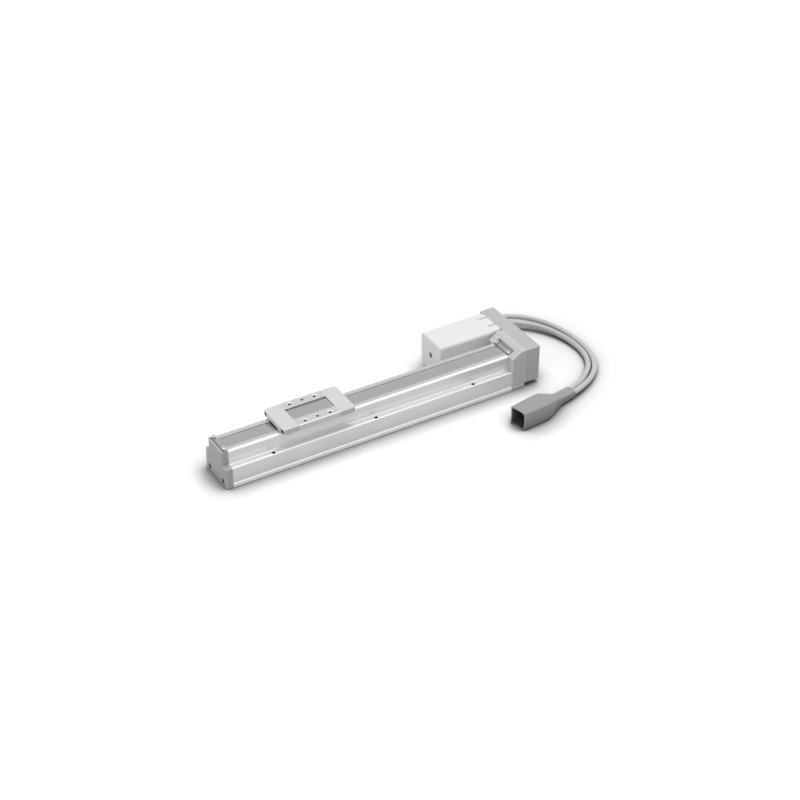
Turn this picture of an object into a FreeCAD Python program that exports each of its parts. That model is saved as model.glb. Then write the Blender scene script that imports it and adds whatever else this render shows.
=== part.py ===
import FreeCAD, Part
import math
import os
from FreeCAD import Vector

os.makedirs("parts", exist_ok=True)

# Sizes in millimetres. The origin is the centre of the body's bottom face, +X points to the
# drive end, +Y to the motor and +Z up.

# Clearances
SCREW_CLEARANCE = 0.1
HEAD_CLEARANCE = 0.3
RUNNING_CLEARANCE = 0.04
SLIDING_CLEARANCE = 0.25
MOVING_GAP = 0.4
MATCH = 1e-4

# Extruded body
BODY_LENGTH = 280.0
BODY_WIDTH = 40.0
BODY_HEIGHT = 34.0
LEDGE_HEIGHT = 20.0
UPPER_WIDTH = 26.0
FOOT_HEIGHT = 4.5
SIDE_STEP = 0.6
EDGE_BREAK = 0.5
LEDGE_EDGE = 0.8
LEDGE_FILLET = 0.8
TOP_EDGE_RADIUS = 2.2
FLOOR_THICKNESS = 4.0
WALL_THICKNESS = 3.0
LIP_THICKNESS = 3.0
SLOT_WIDTH = 11.0
MOUNT_HOLE_DIAMETER = 3.4
MOUNT_HOLE_PITCH = 100.0
MOUNT_HOLE_INSET = 3.0
MOUNT_HOLE_COLUMNS = 3

# Seal band and its clamp bars
BAND_WIDTH = 14.0
BAND_THICKNESS = 0.3
BAND_SEAT_DEPTH = 0.6
BAND_BEND_RADIUS = 4.0
BAND_RAMP_LEAD = 1.2
CLAMP_LENGTH = 3.1
CLAMP_GAP = 0.5
CLAMP_THICKNESS = 1.2
CLAMP_SCREW_SPACING = 19.6
CLAMP_END_MARGIN = 2.2
CLAMP_SCREW_GRIP = 5.0

# Linear guide
RAIL_WIDTH = 7.0
RAIL_HEIGHT = 5.0
RAIL_END_GAP = 1.0
RAIL_GROOVE_HEIGHT = 3.2
RAIL_GROOVE_DEPTH = 0.6
BLOCK_LENGTH = 22.0
BLOCK_SIDE_GAP = 1.5
BLOCK_HEIGHT = 8.0
BLOCK_FLOOR_GAP = 1.5
BLOCK_CAP_LENGTH = 4.5
BLOCK_CAP_INSET = 0.4

# Ball screw, nut and bearings
SCREW_DIAMETER = 8.0
SCREW_END_GAP = 1.5
FIXED_JOURNAL_DIAMETER = 6.0
END_JOURNAL_DIAMETER = 5.0
PULLEY_JOURNAL_DIAMETER = 5.0
NUT_DIAMETER = 14.0
NUT_SEAT_LENGTH = 18.0
NUT_FLANGE_SIZE = 15.6
NUT_FLANGE_LENGTH = 5.0
NUT_CEILING_GAP = 0.7
END_BEARING_DIAMETER = 11.0
END_BEARING_WIDTH = 4.0
FIXED_BEARING_DIAMETER = 15.0
FIXED_BEARING_WIDTH = 5.0
RETAINER_THICKNESS = 2.4
LOCK_NUT_WIDTH = 9.0
LOCK_NUT_LENGTH = 3.4
BUMPER_SIZE = 15.0
BUMPER_LENGTH = 4.0

# Table and carriage
TABLE_REST = -55.5
TABLE_LENGTH = 40.0
TABLE_WIDTH = 37.0
TABLE_RISE = 6.0
TABLE_EDGE = 0.4
WINDOW_WIDTH = 17.0
WINDOW_DEPTH = 1.2
NECK_SIDE_GAP = 0.5
NECK_LENGTH = 36.0
TABLE_HOLE_DIAMETER = 3.3
TABLE_HOLE_DEPTH = 4.8
TABLE_HOLE_COUNTERSINK = 0.6
TABLE_HOLE_SPACING_X = 24.0
TABLE_HOLE_SPACING_Y = 28.0
PIN_HOLE_DIAMETER = 3.0
PIN_HOLE_DEPTH = 3.0
COVER_LENGTH = 15.0
COVER_DROP = 0.2
COVER_CORNER_RADIUS = 3.0
COVER_EDGE = 0.5
COVER_ROOF = 0.6
COVER_END_WALL = 1.5
COVER_MOUTH_HEIGHT = 1.0
COVER_SCREW_INSET = 3.3
COVER_SCREW_GRIP = 4.0
SADDLE_SIDE_GAP = 0.6
SADDLE_EDGE = 1.0
SADDLE_SCREW_PLACES = (-15.0, -5.0)
SADDLE_SCREW_GRIP = 2.6

# End cap
CAP_THICKNESS = 6.2
CAP_CORNER_RADIUS = 2.0
GROUND_GAP = 0.6
BOSS_LENGTH = 6.0
BOSS_GAP = 0.5
CAP_SCREW_SPACING = 25.0
CAP_SCREW_HEIGHT = 4.6
BODY_SCREW_GRIP = 8.0
SHAFT_END_RELIEF = 1.4

# Drive block and motor flange
BLOCK_DEPTH = 13.4
DRIVE_BLOCK_WIDTH = 39.6
DRIVE_BLOCK_RISE = 5.4
DRIVE_BLOCK_EDGE = 0.6
SLOPE_LENGTH = 9.0
DRIVE_CORNER_RADIUS = 2.0
POCKET_LENGTH = 6.4
POCKET_SIDE_GAP = 0.3
FLANGE_THICKNESS = 5.8
FLANGE_LAP = 1.8
FLANGE_MARGIN = 0.4
SHAFT_HOLE_DIAMETER = 15.0
PILOT_SEAT_DEPTH = 2.2
DRIVE_SCREW_SPACING = 29.0
DRIVE_SCREW_HEIGHTS = (4.2, 15.6)

# Pulley cover, pulleys and belt
PULLEY_COVER_DEPTH = 16.1
PULLEY_COVER_BOTTOM = 3.9
PULLEY_COVER_WALL = 2.0
PULLEY_COVER_REACH = 18.1
PULLEY_COVER_EDGE = 0.8
PULLEY_COVER_BOSS = 4.8
PULLEY_COVER_SCREW_INSET = 4.6
PULLEY_COVER_SCREW_RISE = 5.8
PULLEY_COVER_FAR_INSET = 2.1
PULLEY_COVER_SCREW_GRIP = 5.0
PULLEY_DIAMETER = 15.2
PULLEY_FLANGE_DIAMETER = 18.4
PULLEY_FLANGE_THICKNESS = 1.0
PULLEY_WIDTH = 9.0
PULLEY_FRONT_GAP = 1.3
PULLEY_TEETH = 24
TOOTH_DEPTH = 0.7
TOOTH_WIDTH = 1.1
BELT_WIDTH = 6.0
BELT_THICKNESS = 1.4

# Motor and motor cover
MOTOR_SIZE = 28.0
MOTOR_LENGTH = 28.0
MOTOR_CORNER = 2.6
MOTOR_BELL_LENGTH = 7.0
MOTOR_BELL_INSET = 0.4
PILOT_DIAMETER = 22.0
PILOT_LENGTH = 2.0
MOTOR_SCREW_INSET = 2.5
MOTOR_SCREW_GRIP = 4.0
ENCODER_SIZE = 20.0
ENCODER_LENGTH = 16.0
SHAFT_DIAMETER = 5.0
SHAFT_SLOT_WIDTH = 0.8
SHAFT_SLOT_DEPTH = 1.0
MOTOR_COVER_LENGTH = 65.2
MOTOR_COVER_WALL = 1.5
MOTOR_COVER_GAP = 0.7
MOTOR_SIDE_GAP = 2.8
MOTOR_COVER_RADIUS = 3.2
MOTOR_COVER_EDGE = 0.6
ACCESS_HOLE_DIAMETER = 5.6
SNAP_WIDTH = 14.0
SNAP_LENGTH = 8.8
SNAP_SLIT = 0.8

# Cables, grommet and connector
CABLE_DIAMETER = 5.0
CABLE_GAP = 0.2
CABLE_LEAD = 10.5
CABLE_SIDES = 6
ARC_SHARE = 0.45
GROMMET_X = 117.5
GROMMET_RISE = 4.7
GROMMET_SPACING = 6.0
GROMMET_LENGTH = 12.4
GROMMET_WIDTH = 6.4
GROMMET_LIP = 1.2
GROMMET_REACH = 2.0
CONNECTOR_MOUTH = Vector(112.8, -69.0, 0)
CONNECTOR_TURN = 12.4
CONNECTOR_WIDTH = 17.2
CONNECTOR_HEIGHT = 18.3
CONNECTOR_BOX_LENGTH = 30.0
CONNECTOR_WALL = 1.2
CONNECTOR_CORNER = 1.0
CONNECTOR_CAVITY_DEPTH = 28.0
CONNECTOR_MOUTH_SAG = 0.8
MOUTH_RUNS = 3
NECK_X = 46.0
NECK_SECTION = (11.8, 9.6)
NECK_MIDDLE = 8.2
NECK_CORNER = 2.5
TAIL_X = 70.0
TAIL_SECTION = (11.4, 6.8)
TAIL_MIDDLE = 5.5
TAIL_CORNER = 3.0
INSERT_LENGTH = 14.0
CONTACT_SIZE = 1.0
CONTACT_LENGTH = 6.0
CONTACT_PITCH = 3.0
CONTACT_COLUMNS = 4
CONTACT_ROWS = 2

# Sides of the bars that stand for round ones where nothing turns
SCREW_SIDES = 8
SEAT_SIDES = 16

# Screw sizes as (thread, head diameter, head height)
SMALL_SCREW = (2.0, 3.8, 1.6)
MEDIUM_SCREW = (2.5, 4.5, 2.2)

# Places worked out from the sizes
BODY_END = BODY_LENGTH / 2
UPPER_HALF = UPPER_WIDTH / 2
SIDE_HALF = BODY_WIDTH / 2 - SIDE_STEP
CAVITY_HALF = UPPER_HALF - WALL_THICKNESS
CEILING = BODY_HEIGHT - LIP_THICKNESS
BAND_SEAT = BODY_HEIGHT - BAND_SEAT_DEPTH
BAND_TOP = BAND_SEAT + BAND_THICKNESS
SEAT_HALF = BAND_WIDTH / 2 + SLIDING_CLEARANCE
CLAMP_WIDTH = CLAMP_SCREW_SPACING + 2 * CLAMP_END_MARGIN
AXIS_HEIGHT = CEILING - NUT_CEILING_GAP - NUT_FLANGE_SIZE / 2
TABLE_BOTTOM = BODY_HEIGHT + MOVING_GAP
TABLE_TOP = BODY_HEIGHT + TABLE_RISE
WEB_TOP = TABLE_TOP - WINDOW_DEPTH
COVER_TOP = TABLE_TOP - COVER_DROP
COVER_SCREW_SPACING = TABLE_WIDTH - 2 * COVER_SCREW_INSET
NECK_WIDTH = SLOT_WIDTH - 2 * NECK_SIDE_GAP
CHANNEL_HALF = BAND_WIDTH / 2 + MOVING_GAP
CHANNEL_TOP = COVER_TOP - COVER_ROOF
RAMP_START = TABLE_LENGTH / 2 + BAND_RAMP_LEAD
RAMP_END = TABLE_LENGTH / 2 + COVER_LENGTH - COVER_END_WALL - MOVING_GAP
RAIL_TOP = FLOOR_THICKNESS + RAIL_HEIGHT
BLOCK_WIDTH = 2 * (CAVITY_HALF - BLOCK_SIDE_GAP)
SADDLE_BOTTOM = FLOOR_THICKNESS + BLOCK_HEIGHT
SADDLE_TOP = CEILING - MOVING_GAP
SADDLE_LENGTH = TABLE_LENGTH
CAP_OUTER = -BODY_END - CAP_THICKNESS
DRIVE_CLAMP_X = BODY_END + CLAMP_GAP + CLAMP_LENGTH / 2
CAP_CLAMP_X = -DRIVE_CLAMP_X
DRIVE_BLOCK_TOP = BODY_HEIGHT + DRIVE_BLOCK_RISE
BLOCK_BACK = BODY_END + BLOCK_DEPTH
FLANGE_BACK = BLOCK_BACK + FLANGE_LAP
FLANGE_FRONT = FLANGE_BACK - FLANGE_THICKNESS
MOTOR_SCREW_SPACING = MOTOR_SIZE - 2 * MOTOR_SCREW_INSET
MOTOR_COVER_HALF = MOTOR_SIZE / 2 + MOTOR_COVER_GAP + MOTOR_COVER_WALL
AXIS_SPACING = BODY_WIDTH / 2 + MOTOR_SIDE_GAP + MOTOR_COVER_HALF
MOTOR_COVER_FRONT = FLANGE_BACK - MOTOR_COVER_LENGTH
MOTOR_COVER_FAR = AXIS_SPACING + MOTOR_COVER_HALF
FLANGE_HALF = MOTOR_SIZE / 2 + MOTOR_COVER_GAP - FLANGE_MARGIN
GROMMET_HEIGHT = AXIS_HEIGHT - MOTOR_COVER_HALF + GROMMET_RISE
PULLEY_COVER_BACK = BLOCK_BACK + PULLEY_COVER_DEPTH
PULLEY_FRONT = FLANGE_BACK + PULLEY_FRONT_GAP
BEARING_FRONT = BLOCK_BACK - RETAINER_THICKNESS - 2 * FIXED_BEARING_WIDTH
FACING_X = Vector(1, 0, 0)
FACING_Z = Vector(0, 0, 1)


def save(name, *solids):
    """Write one node from one or more separate solids."""
    shape = solids[0] if len(solids) == 1 else Part.makeCompound(list(solids))
    shape.exportStep(f"parts/{name}.step")


def point(axis, along, first, second):
    """Point from a distance along an axis and the two other coordinates in X, Y, Z order."""
    if axis == "x":
        return Vector(along, first, second)
    if axis == "y":
        return Vector(first, along, second)
    return Vector(first, second, along)


def prism(axis, low, high, outline):
    """Solid of a closed outline across an axis, drawn from low to high along it."""
    corners = [point(axis, low, first, second) for first, second in outline]
    face = Part.Face(Part.makePolygon(corners + corners[:1]))
    return face.extrude(point(axis, high - low, 0, 0))


def block(x, y, z):
    """Box between the low and high ends of three ranges."""
    return Part.makeBox(x[1] - x[0], y[1] - y[0], z[1] - z[0], Vector(x[0], y[0], z[0]))


def around(middle, half):
    """Range that reaches the same distance both ways from a middle."""
    return (middle - half, middle + half)


def rod(diameter, x_low, x_high, y=0.0):
    """Cylinder along X at the height of the drive axes."""
    return Part.makeCylinder(diameter / 2, x_high - x_low, Vector(x_low, y, AXIS_HEIGHT), FACING_X)


def polygon(radius, sides):
    """Corners of a regular polygon round a circle of the given radius, with a flat at each quarter."""
    reach = radius / math.cos(math.pi / sides)
    turns = [(2 * index + 1) * math.pi / sides for index in range(sides)]
    return [(reach * math.cos(turn), reach * math.sin(turn)) for turn in turns]


def seat(diameter, x_low, x_high, y=0.0):
    """Many-sided bar along X at the height of the drive axes, for hidden bores and what sits in them."""
    outline = [(y + first, AXIS_HEIGHT + second) for first, second in polygon(diameter / 2, SEAT_SIDES)]
    return prism("x", x_low, x_high, outline)


def mirrored(right):
    """Closed outline from its right half, listed upwards, and the same points mirrored."""
    return right + [(-first, second) for first, second in reversed(right)]


def edges_at(shape, axis, places):
    """Straight edges along an axis that pass through the given places in the other two coordinates."""
    others = [index for index, letter in enumerate("xyz") if letter != axis]
    found = []
    for edge in shape.Edges:
        ends = [vertex.Point for vertex in edge.Vertexes]
        for place in places:
            offsets = [abs(end[index] - value) for end in ends for index, value in zip(others, place)]
            if max(offsets) < MATCH:
                found.append(edge)
    return found


def both_sides(first, *seconds):
    """Places at plus and minus a first coordinate, for each second coordinate."""
    return [(sign * first, second) for sign in (-1, 1) for second in seconds]


def bar(radius, low, high):
    """Prism along Z with few sides, which stands for a round bar in the many screws and holes."""
    return prism("z", low, high, polygon(radius, SCREW_SIDES))


def cap_screw(size, seat, direction, length):
    """Screw whose head sits on a seat and whose shank runs on along a direction."""
    thread, head, head_height = size
    screw = bar(head / 2, 0, head_height).fuse(bar(thread / 2, -length, 0))
    screw.Placement = FreeCAD.Placement(seat, FreeCAD.Rotation(-FACING_Z, direction))
    return screw


def screw_hole(size, seat, direction, length, recess):
    """Clearance hole for a screw's shank, with a counterbore of the given depth above its seat."""
    thread, head, _ = size
    hole = bar(thread / 2 + SCREW_CLEARANCE, -length - SCREW_CLEARANCE, 0)
    if recess > 0:
        hole = hole.fuse(bar(head / 2 + HEAD_CLEARANCE, 0, recess))
    hole.Placement = FreeCAD.Placement(seat, FreeCAD.Rotation(-FACING_Z, direction))
    return hole


def screws(size, places):
    """One screw at each seat, direction and shank length."""
    return [cap_screw(size, seat, direction, length) for seat, direction, length in places]


def holes(size, places, recess=0.0):
    """One clearance hole at each seat, direction and shank length."""
    return [screw_hole(size, seat, direction, length, recess) for seat, direction, length in places]


def ring(outer, inner, x_low, x_high):
    """Many-sided ring along X round the screw's axis."""
    return seat(outer, x_low, x_high).cut(seat(inner, x_low, x_high))


def square_bar(size, corner, x_low, x_high):
    """Square bar along X round the motor's axis, with its corners cut off."""
    reach = size / 2
    flat = reach - corner
    outline = mirrored([(flat, -reach), (reach, -flat), (reach, flat), (flat, reach)])
    return prism("x", x_low, x_high, [(AXIS_SPACING + y, AXIS_HEIGHT + z) for y, z in outline])


def offset_path(points, radius, offset):
    """Edges of a path of lines and tangent arcs in the XZ plane, set off to its left by a distance."""
    edges = []
    start = None
    for index in range(len(points) - 1):
        here = Vector(points[index][0], 0, points[index][1])
        there = Vector(points[index + 1][0], 0, points[index + 1][1])
        run = (there - here).normalize()
        side = Vector(-run.z, 0, run.x)
        if start is None:
            start = here + side * offset
        if index + 2 == len(points):
            edges.append(Part.LineSegment(start, there + side * offset).toShape())
            break
        after = Vector(points[index + 2][0], 0, points[index + 2][1])
        next_run = (after - there).normalize()
        next_side = Vector(-next_run.z, 0, next_run.x)
        turn = math.atan2(run.x * next_run.z - run.z * next_run.x, run.dot(next_run))
        setback = radius * math.tan(abs(turn) / 2)
        centre = there - run * setback + side * math.copysign(radius, turn)
        reach = offset - math.copysign(radius, turn)
        middle = (side + next_side).normalize()
        first = centre + side * reach
        last = centre + next_side * reach
        edges.append(Part.LineSegment(start, first).toShape())
        edges.append(Part.Arc(first, centre + middle * reach, last).toShape())
        start = last
    return edges


# Extruded aluminium body: a stepped channel with a floor, two side walls, two lips that carry the
# band, and two rows of mounting holes in its ledges.
def base_rail():
    """Channel profile drawn along X, then rounded and drilled."""
    half = BODY_WIDTH / 2
    profile = mirrored([
        (half - EDGE_BREAK, 0),
        (half, EDGE_BREAK),
        (half, FOOT_HEIGHT - SIDE_STEP),
        (SIDE_HALF, FOOT_HEIGHT),
        (SIDE_HALF, LEDGE_HEIGHT),
        (UPPER_HALF, LEDGE_HEIGHT),
        (UPPER_HALF, BODY_HEIGHT),
        (SEAT_HALF, BODY_HEIGHT),
        (SEAT_HALF, BAND_SEAT),
        (SLOT_WIDTH / 2, BAND_SEAT),
        (SLOT_WIDTH / 2, CEILING),
        (CAVITY_HALF, CEILING),
        (CAVITY_HALF, FLOOR_THICKNESS),
    ])
    body = prism("x", -BODY_END, BODY_END, profile)
    body = body.makeChamfer(LEDGE_EDGE, edges_at(body, "x", both_sides(SIDE_HALF, LEDGE_HEIGHT)))
    body = body.makeFillet(LEDGE_FILLET, edges_at(body, "x", both_sides(UPPER_HALF, LEDGE_HEIGHT)))
    body = body.makeFillet(TOP_EDGE_RADIUS, edges_at(body, "x", both_sides(UPPER_HALF, BODY_HEIGHT)))
    cuts = holes(MEDIUM_SCREW, end_cap_screw_places() + drive_screw_places())
    for column in range(MOUNT_HOLE_COLUMNS):
        x = (column - (MOUNT_HOLE_COLUMNS - 1) / 2) * MOUNT_HOLE_PITCH
        for y in around(0, half - MOUNT_HOLE_INSET):
            cuts.append(Part.makeCylinder(MOUNT_HOLE_DIAMETER / 2, LEDGE_HEIGHT, Vector(x, y, 0)))
    return body.cut(cuts)


# End cap: a stepped plate that closes the body, with a recess for the band clamp and a boss inside
# that carries the far bearing of the screw.
def end_cap_screw_places():
    """Seat, direction and shank length of the two low end cap screws."""
    x = CAP_OUTER + MEDIUM_SCREW[2]
    length = CAP_THICKNESS - MEDIUM_SCREW[2] + BODY_SCREW_GRIP
    half = CAP_SCREW_SPACING / 2
    return [(Vector(x, y, CAP_SCREW_HEIGHT), FACING_X, length) for y in around(0, half)]


def clamp_screw_places(clamp_x):
    """Seat, direction and shank length of the two screws of a band clamp."""
    z = BAND_TOP + CLAMP_THICKNESS
    length = CLAMP_THICKNESS + CLAMP_SCREW_GRIP
    half = CLAMP_SCREW_SPACING / 2
    return [(Vector(clamp_x, y, z), -FACING_Z, length) for y in around(0, half)]


def end_cap():
    """Stepped plate with rounded upright corners, a clamp recess and a bearing boss."""
    half = BODY_WIDTH / 2
    profile = mirrored([
        (half, GROUND_GAP),
        (half, LEDGE_HEIGHT),
        (UPPER_HALF, LEDGE_HEIGHT),
        (UPPER_HALF, BODY_HEIGHT),
    ])
    cap = prism("x", CAP_OUTER, -BODY_END, profile)
    corners = [(CAP_OUTER, sign * width) for sign in (-1, 1) for width in (half, UPPER_HALF)]
    cap = cap.makeFillet(CAP_CORNER_RADIUS, edges_at(cap, "z", corners))
    boss_half = CAVITY_HALF - BOSS_GAP
    boss_end = -BODY_END + BOSS_LENGTH
    boss = block((-BODY_END, boss_end), around(0, boss_half), (SADDLE_BOTTOM, CEILING - BOSS_GAP))
    recess_half = CLAMP_WIDTH / 2 + POCKET_SIDE_GAP
    recess_x = around(CAP_CLAMP_X, CLAMP_LENGTH / 2 + CLAMP_GAP)
    recess = block(recess_x, around(0, recess_half), (BAND_SEAT, BODY_HEIGHT))
    bearing_x = boss_end - END_BEARING_WIDTH
    seats = [
        recess,
        seat(END_BEARING_DIAMETER + 2 * RUNNING_CLEARANCE, bearing_x, boss_end),
        seat(END_JOURNAL_DIAMETER + 2 * MOVING_GAP, bearing_x - SHAFT_END_RELIEF, bearing_x),
    ]
    seats += holes(MEDIUM_SCREW, end_cap_screw_places(), MEDIUM_SCREW[2])
    seats += holes(SMALL_SCREW, clamp_screw_places(CAP_CLAMP_X))
    return cap.fuse(boss).cut(seats).removeSplitter()


def band_clamp(clamp_x):
    """Flat bar that holds one end of the band down."""
    x = around(clamp_x, CLAMP_LENGTH / 2)
    bar = block(x, around(0, CLAMP_WIDTH / 2), (BAND_TOP, BAND_TOP + CLAMP_THICKNESS))
    return bar.cut(holes(SMALL_SCREW, clamp_screw_places(clamp_x)))


# Seal band: one thin strip from clamp to clamp that rides up over the table's web and down again
# inside the two table covers.
def band_points():
    """Corners of the band's underside from one clamp to the other."""
    left = [(-RAMP_END, BAND_SEAT), (-RAMP_START, WEB_TOP)]
    right = [(RAMP_START, WEB_TOP), (RAMP_END, BAND_SEAT)]
    ramps = [(TABLE_REST + x, z) for x, z in left + right]
    first = (CAP_CLAMP_X - CLAMP_LENGTH / 2, BAND_SEAT)
    last = (DRIVE_CLAMP_X + CLAMP_LENGTH / 2, BAND_SEAT)
    return [first] + ramps + [last]


def seal_band():
    """Strip of even thickness along the band's bent path."""
    points = band_points()
    lower = offset_path(points, BAND_BEND_RADIUS, 0)
    upper = offset_path(points, BAND_BEND_RADIUS, BAND_THICKNESS)
    ends = []
    for x, z in (points[0], points[-1]):
        ends.append(Part.LineSegment(Vector(x, 0, z), Vector(x, 0, z + BAND_THICKNESS)).toShape())
    wire = Part.Wire(Part.__sortEdges__(lower + upper + ends))
    strip = Part.Face(wire).extrude(Vector(0, BAND_WIDTH, 0))
    strip.translate(Vector(0, -BAND_WIDTH / 2, 0))
    return strip


# Linear guide: a grooved rail on the floor, and a block that runs on it with an end cap at each end.
def rail_side(half):
    """Right half of the rail's section, with its ball groove."""
    return [
        (half, 0),
        (half, RAIL_GROOVE_HEIGHT - RAIL_GROOVE_DEPTH),
        (half - RAIL_GROOVE_DEPTH, RAIL_GROOVE_HEIGHT),
        (half, RAIL_GROOVE_HEIGHT + RAIL_GROOVE_DEPTH),
    ]


def raised(outline, height):
    """Outline moved up by a height."""
    return [(first, second + height) for first, second in outline]


def guide_rail():
    """Grooved rail along the body's floor."""
    outline = mirrored(rail_side(RAIL_WIDTH / 2) + [(RAIL_WIDTH / 2, RAIL_HEIGHT)])
    x = around(0, BODY_END - RAIL_END_GAP)
    return prism("x", x[0], x[1], raised(outline, FLOOR_THICKNESS))


def guide_block():
    """Saddle-shaped block with ribs that run in the rail's grooves."""
    half = BLOCK_WIDTH / 2
    low = BLOCK_FLOOR_GAP
    channel = rail_side(RAIL_WIDTH / 2 + SLIDING_CLEARANCE)[1:]
    inner = [(channel[0][0], low)] + channel + [(channel[0][0], RAIL_HEIGHT + SLIDING_CLEARANCE)]
    outer = [(half, BLOCK_HEIGHT), (half, low)]
    right = inner[::-1]
    outline = [(-first, second) for first, second in outer] + [(-first, second) for first, second in inner]
    outline = outline + right + outer[::-1]
    low_x = TABLE_REST - BLOCK_LENGTH / 2
    return prism("x", low_x, low_x + BLOCK_LENGTH, raised(outline, FLOOR_THICKNESS))


def guide_block_cap(sign):
    """Plastic cap on one end of the guide block."""
    half = BLOCK_WIDTH / 2 - BLOCK_CAP_INSET
    channel = RAIL_WIDTH / 2 + SLIDING_CLEARANCE
    outline = mirrored([
        (channel, BLOCK_FLOOR_GAP + BLOCK_CAP_INSET),
        (half, BLOCK_FLOOR_GAP + BLOCK_CAP_INSET),
        (half, BLOCK_HEIGHT - BLOCK_CAP_INSET),
    ])
    x = around(TABLE_REST + sign * (BLOCK_LENGTH + BLOCK_CAP_LENGTH) / 2, BLOCK_CAP_LENGTH / 2)
    cap = prism("x", x[0], x[1], raised(outline, FLOOR_THICKNESS))
    return cap.cut(block(x, around(0, channel), (FLOOR_THICKNESS, RAIL_TOP + SLIDING_CLEARANCE)))


# Carriage: a saddle on the guide block holds the ball nut, and the table stands on it with a neck
# that passes through the slot.
def saddle_screw_places():
    """Seat, direction and shank length of the screws that hold the table to the saddle."""
    seat = WEB_TOP - MEDIUM_SCREW[2] - MOVING_GAP
    length = seat - SADDLE_TOP + SADDLE_SCREW_GRIP
    return [(Vector(TABLE_REST + x, 0, seat), -FACING_Z, length) for x in SADDLE_SCREW_PLACES]


def saddle_block():
    """Block with a bore that holds the nut at one end and clears the screw beyond it."""
    half = CAVITY_HALF - SADDLE_SIDE_GAP
    x = around(TABLE_REST, SADDLE_LENGTH / 2)
    saddle = block(x, around(0, half), (SADDLE_BOTTOM, SADDLE_TOP))
    corners = both_sides(half, SADDLE_BOTTOM, SADDLE_TOP)
    saddle = saddle.makeChamfer(SADDLE_EDGE, edges_at(saddle, "x", corners))
    bore = seat(NUT_DIAMETER + 2 * RUNNING_CLEARANCE, x[0], x[1])
    return saddle.cut([bore] + holes(MEDIUM_SCREW, saddle_screw_places()))


def ball_nut():
    """Round nut with a square flange on the saddle's face."""
    face = TABLE_REST + SADDLE_LENGTH / 2
    end = face + NUT_FLANGE_LENGTH
    half = NUT_FLANGE_SIZE / 2
    flange = block((face, end), around(0, half), around(AXIS_HEIGHT, half))
    nut = seat(NUT_DIAMETER, face - NUT_SEAT_LENGTH, face).fuse(flange)
    bore = seat(SCREW_DIAMETER + 2 * RUNNING_CLEARANCE, face - NUT_SEAT_LENGTH, end)
    return nut.cut(bore).removeSplitter()


def cover_screw_places(sign):
    """Seat, direction and shank length of the two screws of a table cover."""
    x = TABLE_REST + sign * (TABLE_LENGTH / 2 + COVER_LENGTH - SMALL_SCREW[2] - SCREW_CLEARANCE)
    z = (TABLE_BOTTOM + COVER_TOP) / 2
    length = COVER_LENGTH - SMALL_SCREW[2] + COVER_SCREW_GRIP
    return [(Vector(x, y, z), FACING_X * -sign, length) for y in around(0, COVER_SCREW_SPACING / 2)]


def table_plate():
    """Two rails joined by a sunk web, with a neck below and threaded and pin holes on top."""
    half = TABLE_WIDTH / 2
    x = around(TABLE_REST, TABLE_LENGTH / 2)
    outline = mirrored([
        (half, TABLE_BOTTOM),
        (half, TABLE_TOP),
        (WINDOW_WIDTH / 2, TABLE_TOP),
        (WINDOW_WIDTH / 2, WEB_TOP),
    ])
    plate = prism("x", x[0], x[1], outline)
    plate = plate.makeChamfer(TABLE_EDGE, edges_at(plate, "x", both_sides(half, TABLE_TOP)))
    neck_x = around(TABLE_REST, NECK_LENGTH / 2)
    neck = block(neck_x, around(0, NECK_WIDTH / 2), (SADDLE_TOP, TABLE_BOTTOM))
    cuts = holes(SMALL_SCREW, cover_screw_places(-1) + cover_screw_places(1))
    cuts += holes(MEDIUM_SCREW, saddle_screw_places(), MEDIUM_SCREW[2] + MOVING_GAP)
    for y in around(0, TABLE_HOLE_SPACING_Y / 2):
        for hole_x in around(TABLE_REST, TABLE_HOLE_SPACING_X / 2):
            start = Vector(hole_x, y, TABLE_TOP)
            radius = TABLE_HOLE_DIAMETER / 2
            sink = TABLE_HOLE_COUNTERSINK
            cuts.append(Part.makeCylinder(radius, TABLE_HOLE_DEPTH, start, -FACING_Z))
            cuts.append(Part.makeCone(radius + sink, radius, sink, start, -FACING_Z))
        start = Vector(TABLE_REST, y, TABLE_TOP)
        cuts.append(Part.makeCylinder(PIN_HOLE_DIAMETER / 2, PIN_HOLE_DEPTH, start, -FACING_Z))
    return plate.fuse(neck).cut(cuts).removeSplitter()


def table_cover(sign):
    """Cover at one end of the table, hollow over the band, with a low mouth for the band."""
    half = TABLE_WIDTH / 2
    inner = TABLE_LENGTH / 2
    outer = inner + COVER_LENGTH
    wall = outer - COVER_END_WALL
    cover = block((inner, outer), around(0, half), (TABLE_BOTTOM, COVER_TOP))
    cover = cover.makeFillet(COVER_CORNER_RADIUS, edges_at(cover, "z", [(outer, -half), (outer, half)]))
    roof = [edge for edge in cover.Edges if all(abs(v.Z - COVER_TOP) < MATCH for v in edge.Vertexes)]
    rim = [edge for edge in roof if max(v.X for v in edge.Vertexes) > inner + MATCH]
    cover = cover.makeChamfer(COVER_EDGE, rim)
    cuts = [
        block((inner, wall), around(0, CHANNEL_HALF), (TABLE_BOTTOM, CHANNEL_TOP)),
        block((wall, outer), around(0, CHANNEL_HALF), (TABLE_BOTTOM, TABLE_BOTTOM + COVER_MOUTH_HEIGHT)),
    ]
    cover = cover.cut(cuts)
    if sign < 0:
        cover = cover.mirror(Vector(0, 0, 0), FACING_X)
    cover.translate(Vector(TABLE_REST, 0, 0))
    return cover.cut(holes(SMALL_SCREW, cover_screw_places(sign), SMALL_SCREW[2] + SCREW_CLEARANCE))


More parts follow.
